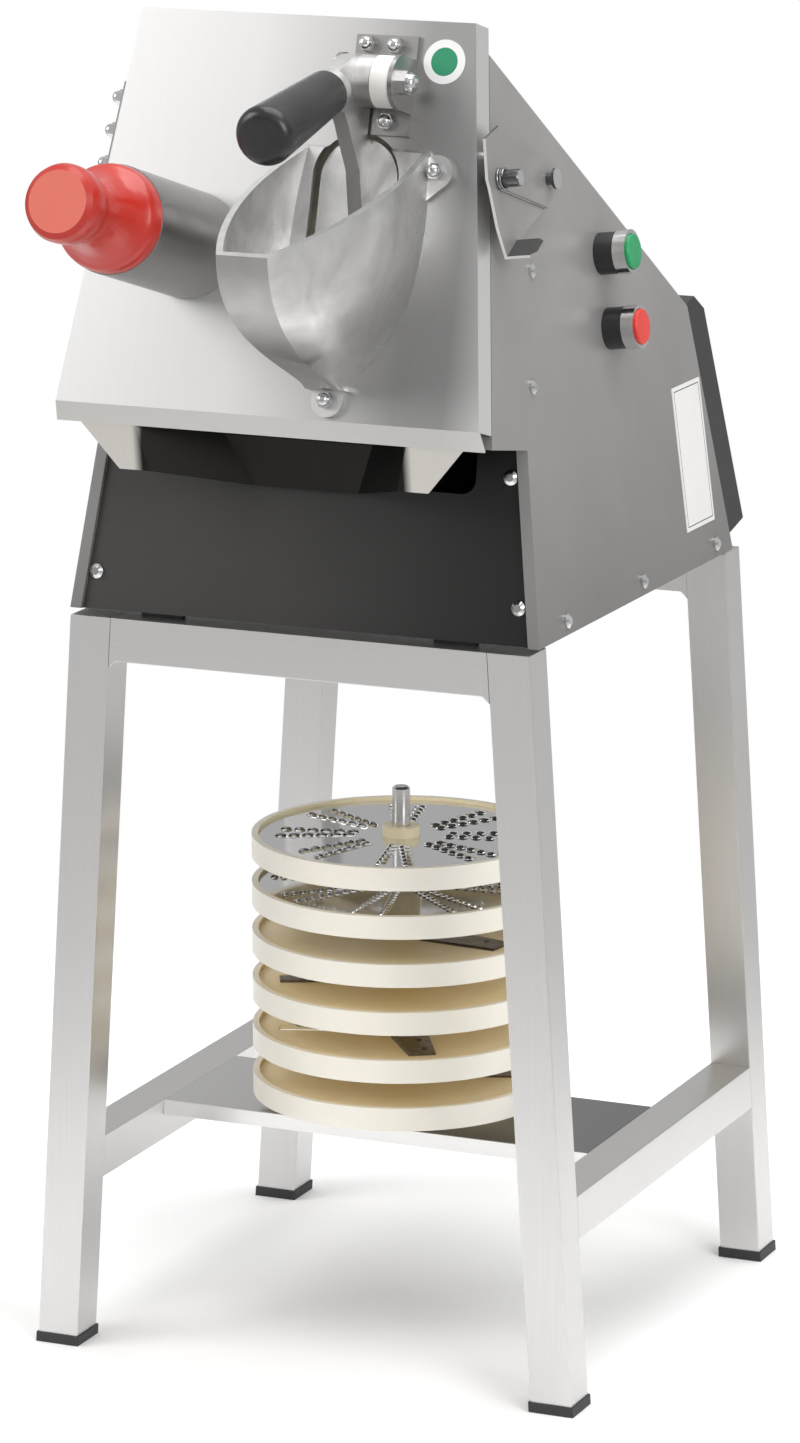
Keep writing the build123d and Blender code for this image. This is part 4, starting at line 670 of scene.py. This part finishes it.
finish_pieces(
    "ribbed black", brushed, 0.0, (0.012, 0.012, 0.013), (0.02, 0.02, 0.021),
    {"Grain": (20, 420, 420), "Smooth": 0.3, "Rough": 0.45, "Depth": 0.9},
    ("button_collars",),
)
finish_pieces(
    "moulded black", speckled, 0.0, (0.02, 0.02, 0.021), (0.03, 0.03, 0.031),
    {"Cloud Size": 20, "Speck Size": 1100, "Smooth": 0.38, "Rough": 0.52, "Depth": 0.2},
    ("rear_cover", "inlet_lid"),
)
finish_pieces(
    "green plastic", speckled, 0.0, (0.012, 0.33, 0.12), (0.01, 0.28, 0.1),
    {"Cloud Size": 30, "Speck Size": 1200, "Smooth": 0.3, "Rough": 0.4, "Depth": 0.06},
    ("start_button",),
)
finish_pieces(
    "red plastic", speckled, 0.0, (0.75, 0.045, 0.03), (0.68, 0.038, 0.025),
    {"Cloud Size": 30, "Speck Size": 1200, "Smooth": 0.3, "Rough": 0.4, "Depth": 0.06},
    ("stop_button",),
)

# Cutting discs: cream moulded bodies with steel blades. The thin web inside the rim lets light
# through, and that light is painted into its colour as amber against the pale rim.

spindle_place = Vector((0.0, 0.0735, 0.0))
rim_inside = 0.0995
rim_outside = 0.1015
spare_bodies = (
    "slicer_1_body", "slicer_2_body", "slicer_3_body", "slicer_4_body",
    "grater_1_body", "grater_2_body",
)
spare_cream = finish_pieces(
    "spare disc cream", speckled, 0.0, (0.88, 0.85, 0.77), (0.85, 0.81, 0.71),
    {"Cloud Size": 10, "Speck Size": 900, "Smooth": 0.3, "Rough": 0.42, "Depth": 0.08},
    spare_bodies,
)
# Painted light: the spare discs are painted amber inside the rim, for light coming through the
# thin web.
tree = spare_cream.node_tree
shader = tree.nodes["Principled BSDF"]
coord = tree.nodes.new("ShaderNodeTexCoord")
flatten = tree.nodes.new("ShaderNodeVectorMath")
flatten.operation = "MULTIPLY"
flatten.inputs[1].default_value = (1, 1, 0)
radius = tree.nodes.new("ShaderNodeVectorMath")
radius.operation = "DISTANCE"
radius.inputs[1].default_value = spindle_place
inside = tree.nodes.new("ShaderNodeMapRange")
inside.inputs["From Min"].default_value = rim_outside
inside.inputs["From Max"].default_value = rim_inside
amber = tree.nodes.new("ShaderNodeMix")
amber.data_type = "RGBA"
amber.inputs["B"].default_value = (0.96, 0.83, 0.56, 1)
tree.links.new(coord.outputs["Object"], flatten.inputs[0])
tree.links.new(flatten.outputs[0], radius.inputs[0])
tree.links.new(radius.outputs["Value"], inside.inputs["Value"])
tree.links.new(inside.outputs["Result"], amber.inputs["Factor"])
tree.links.new(shader.inputs["Base Color"].links[0].from_socket, amber.inputs["A"])
tree.links.new(amber.outputs["Result"], shader.inputs["Base Color"])
working_cream = finish_pieces(
    "working disc cream", speckled, 0.0, (0.86, 0.81, 0.7), (0.82, 0.76, 0.62),
    {"Cloud Size": 10, "Speck Size": 900, "Smooth": 0.3, "Rough": 0.42, "Depth": 0.08},
    ("working_disc_body", "ejector_disc"),
)
for cream in (spare_cream, working_cream):
    shader = cream.node_tree.nodes["Principled BSDF"]
    shader.inputs["Subsurface Weight"].default_value = 0.15
    shader.inputs["Subsurface Radius"].default_value = (0.01, 0.007, 0.004)
blade_steel = finish_pieces(
    "blade steel", brushed, 1.0, (0.78, 0.78, 0.78), (0.7, 0.7, 0.7),
    {"Grain": (40, 500, 500), "Smooth": 0.06, "Rough": 0.14, "Depth": 0.02},
    ("grater_1_plate", "grater_2_plate"),
)
knife_steel = finish_pieces(
    "knife steel", brushed, 1.0, (0.2, 0.18, 0.16), (0.13, 0.12, 0.11),
    {"Grain": (40, 500, 500), "Smooth": 0.2, "Rough": 0.34, "Depth": 0.03},
    (
        "slicer_1_blade", "slicer_2_blade", "slicer_3_blade", "slicer_4_blade",
        "working_disc_blade",
    ),
)

# Second knives: the three upper slicing discs carry one more blade each, where the front shows it.
# A blade is a flat bar, narrower at the rim, ground along its leading edge and held by two rivets,
# whose spots are shares of its length and whose line is a share of its width.

first_rim = 0.1666
disc_pitch = 0.034
web_rise = 0.0043
knife_sheet = 0.0016
knife_reach = 0.054
knife_taper = 0.72
ground_edge = knife_sheet * 0.8
rivet_spots = (-0.2, 0.24)
rivet_line = 0.16
rivet_radius = 0.0019
rivet_head = 0.0012
rivet_round = 0.0005
for level, turn, length, width in (
    (1, -56, 0.050, 0.026),
    (2, 207, 0.062, 0.020),
    (3, -10, 0.058, 0.030),
):
    bpy.ops.mesh.primitive_cube_add(size=1)
    knife = bpy.context.object
    knife.name = f"slicer_{level + 1}_second_knife"
    knife.scale = (length, width, knife_sheet)
    bpy.ops.object.transform_apply(scale=True)
    select_facing(knife, Vector((1, 0, 0)))
    bpy.ops.transform.resize(value=(1, knife_taper, 1))
    bpy.ops.mesh.select_mode(type="EDGE")
    bpy.ops.mesh.select_all(action="DESELECT")
    bar = bmesh.from_edit_mesh(knife.data)
    for line in bar.edges:
        line.select = all(end.co.y < -width * 0.3 and end.co.z > 0 for end in line.verts)
    bmesh.update_edit_mesh(knife.data)
    bpy.ops.mesh.bevel(offset=ground_edge, segments=1)
    bpy.ops.object.mode_set(mode="OBJECT")
    parts = [knife]
    for spot in rivet_spots:
        bpy.ops.mesh.primitive_cylinder_add(
            vertices=20, radius=rivet_radius, depth=rivet_head,
            location=(spot * length, rivet_line * width, knife_sheet / 2 + rivet_head / 3),
        )
        rivet = bpy.context.object
        select_facing(rivet, up)
        bpy.ops.mesh.bevel(offset=rivet_round, segments=2)
        bpy.ops.object.mode_set(mode="OBJECT")
        parts.append(rivet)
    for part in parts:
        part.select_set(True)
    bpy.context.view_layer.objects.active = knife
    bpy.ops.object.join()
    lift = first_rim + disc_pitch * level + web_rise + knife_sheet / 2
    knife.matrix_world = (
        Matrix.Translation(spindle_place + up * lift)
        @ Matrix.Rotation(radians(turn), 4, "Z")
        @ Matrix.Translation((knife_reach, 0, 0))
    )
    bpy.ops.object.transform_apply(location=True, rotation=True)
    bpy.ops.object.shade_smooth_by_angle(angle=radians(35))
    knife.data.materials.append(knife_steel)
    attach(knife, f"spare_slicer_{level + 1}")

# Grating plates: polished sheet let into the two top discs. Eight pairs of rows fan out from the
# hub, and behind each hole the sheet is pressed up into a half-round tooth that faces the turn.

plate_outer = 0.0992
plate_inner = 0.0133
grating_rise = 0.0055
grating_sheet = 0.0012
cutter_height = 0.01
sectors = 8
row_spread = radians(6.5)
hole_squash = 0.8
hole_lead = 0.45
scoop_stretch = (1.12, 1.15)
tooth_height = 0.0021
tooth_sheet = 0.0004
for grater, level, teeth_in_row, first_ring, last_ring, tooth, start in (
    ("grater_1", 4, 10, 0.028, 0.091, 0.0026, radians(9)),
    ("grater_2", 5, 6, 0.034, 0.086, 0.0040, radians(20)),
):
    disc_top = spindle_place + up * (first_rim + disc_pitch * level + grating_rise)
    bpy.ops.mesh.primitive_cylinder_add(
        vertices=120, radius=plate_outer, depth=grating_sheet,
        location=disc_top - up * (grating_sheet / 2),
    )
    plate = bpy.context.object
    plate.name = f"{grater}_grating"
    bpy.ops.object.transform_apply(location=True)
    plate.data.materials.append(blade_steel)

    bpy.ops.mesh.primitive_cylinder_add(
        vertices=48, radius=plate_inner, depth=cutter_height, location=disc_top
    )
    bpy.ops.object.transform_apply(location=True)
    cutters = [bpy.context.object]
    teeth = []

    bpy.ops.mesh.primitive_cylinder_add(vertices=14, radius=tooth, depth=cutter_height)
    hole = bpy.context.object
    hole.scale = (1, hole_squash, 1)
    bpy.ops.object.transform_apply(scale=True)
    bpy.ops.mesh.primitive_uv_sphere_add(segments=12, ring_count=6, radius=tooth)
    scoop = bpy.context.object
    scoop.scale = (*scoop_stretch, min(1, tooth_height / tooth))
    bpy.ops.object.transform_apply(scale=True)
    bpy.ops.object.mode_set(mode="EDIT")
    for cut_place, cut_side in (((0, 0, 0), (0, 0, -1)), ((0, -tooth * 0.1, 0), (0, 1, 0))):
        bpy.ops.mesh.select_all(action="SELECT")
        bpy.ops.mesh.bisect(plane_co=cut_place, plane_no=cut_side, clear_outer=True)
    bpy.ops.object.mode_set(mode="OBJECT")

    for sector in range(sectors):
        for side, stagger in ((-1, 0.0), (1, 0.25)):
            angle = start + sector * 2 * pi / sectors + side * row_spread
            row_turn = Matrix.Rotation(angle, 4, "Z")
            for index in range(teeth_in_row):
                along = (index + stagger) / (teeth_in_row - 0.5)
                reach = first_ring + (last_ring - first_ring) * along
                place = Matrix.Translation(disc_top) @ row_turn @ Matrix.Translation((reach, 0, 0))
                for shape, shift, kept in ((hole, tooth * hole_lead, cutters), (scoop, 0, teeth)):
                    copy = bpy.data.objects.new(shape.name, shape.data.copy())
                    scene.collection.objects.link(copy)
                    copy.data.transform(place @ Matrix.Translation((0, shift, 0)))
                    kept.append(copy)
    for shape in (hole, scoop):
        bpy.data.objects.remove(shape, do_unlink=True)
    for group in (cutters, teeth):
        bpy.ops.object.select_all(action="DESELECT")
        for piece in group:
            piece.select_set(True)
        bpy.context.view_layer.objects.active = group[0]
        bpy.ops.object.join()
    cut = plate.modifiers.new("holes", "BOOLEAN")
    cut.operation = "DIFFERENCE"
    cut.solver = "EXACT"
    cut.object = cutters[0]
    bpy.ops.object.select_all(action="DESELECT")
    plate.select_set(True)
    bpy.context.view_layer.objects.active = plate
    bpy.ops.object.modifier_apply(modifier="holes")
    bpy.data.objects.remove(cutters[0], do_unlink=True)

    bpy.ops.object.select_all(action="DESELECT")
    teeth[0].select_set(True)
    bpy.context.view_layer.objects.active = teeth[0]
    wall = teeth[0].modifiers.new("sheet", "SOLIDIFY")
    wall.thickness = tooth_sheet
    wall.offset = -1
    bpy.ops.object.modifier_apply(modifier="sheet")
    teeth[0].data.materials.clear()
    teeth[0].data.materials.append(blade_steel)
    plate.select_set(True)
    bpy.context.view_layer.objects.active = plate
    bpy.ops.object.join()
    bpy.ops.object.shade_smooth_by_angle(angle=radians(40))
    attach(plate, f"spare_{grater}")
    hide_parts(f"{grater}_plate")
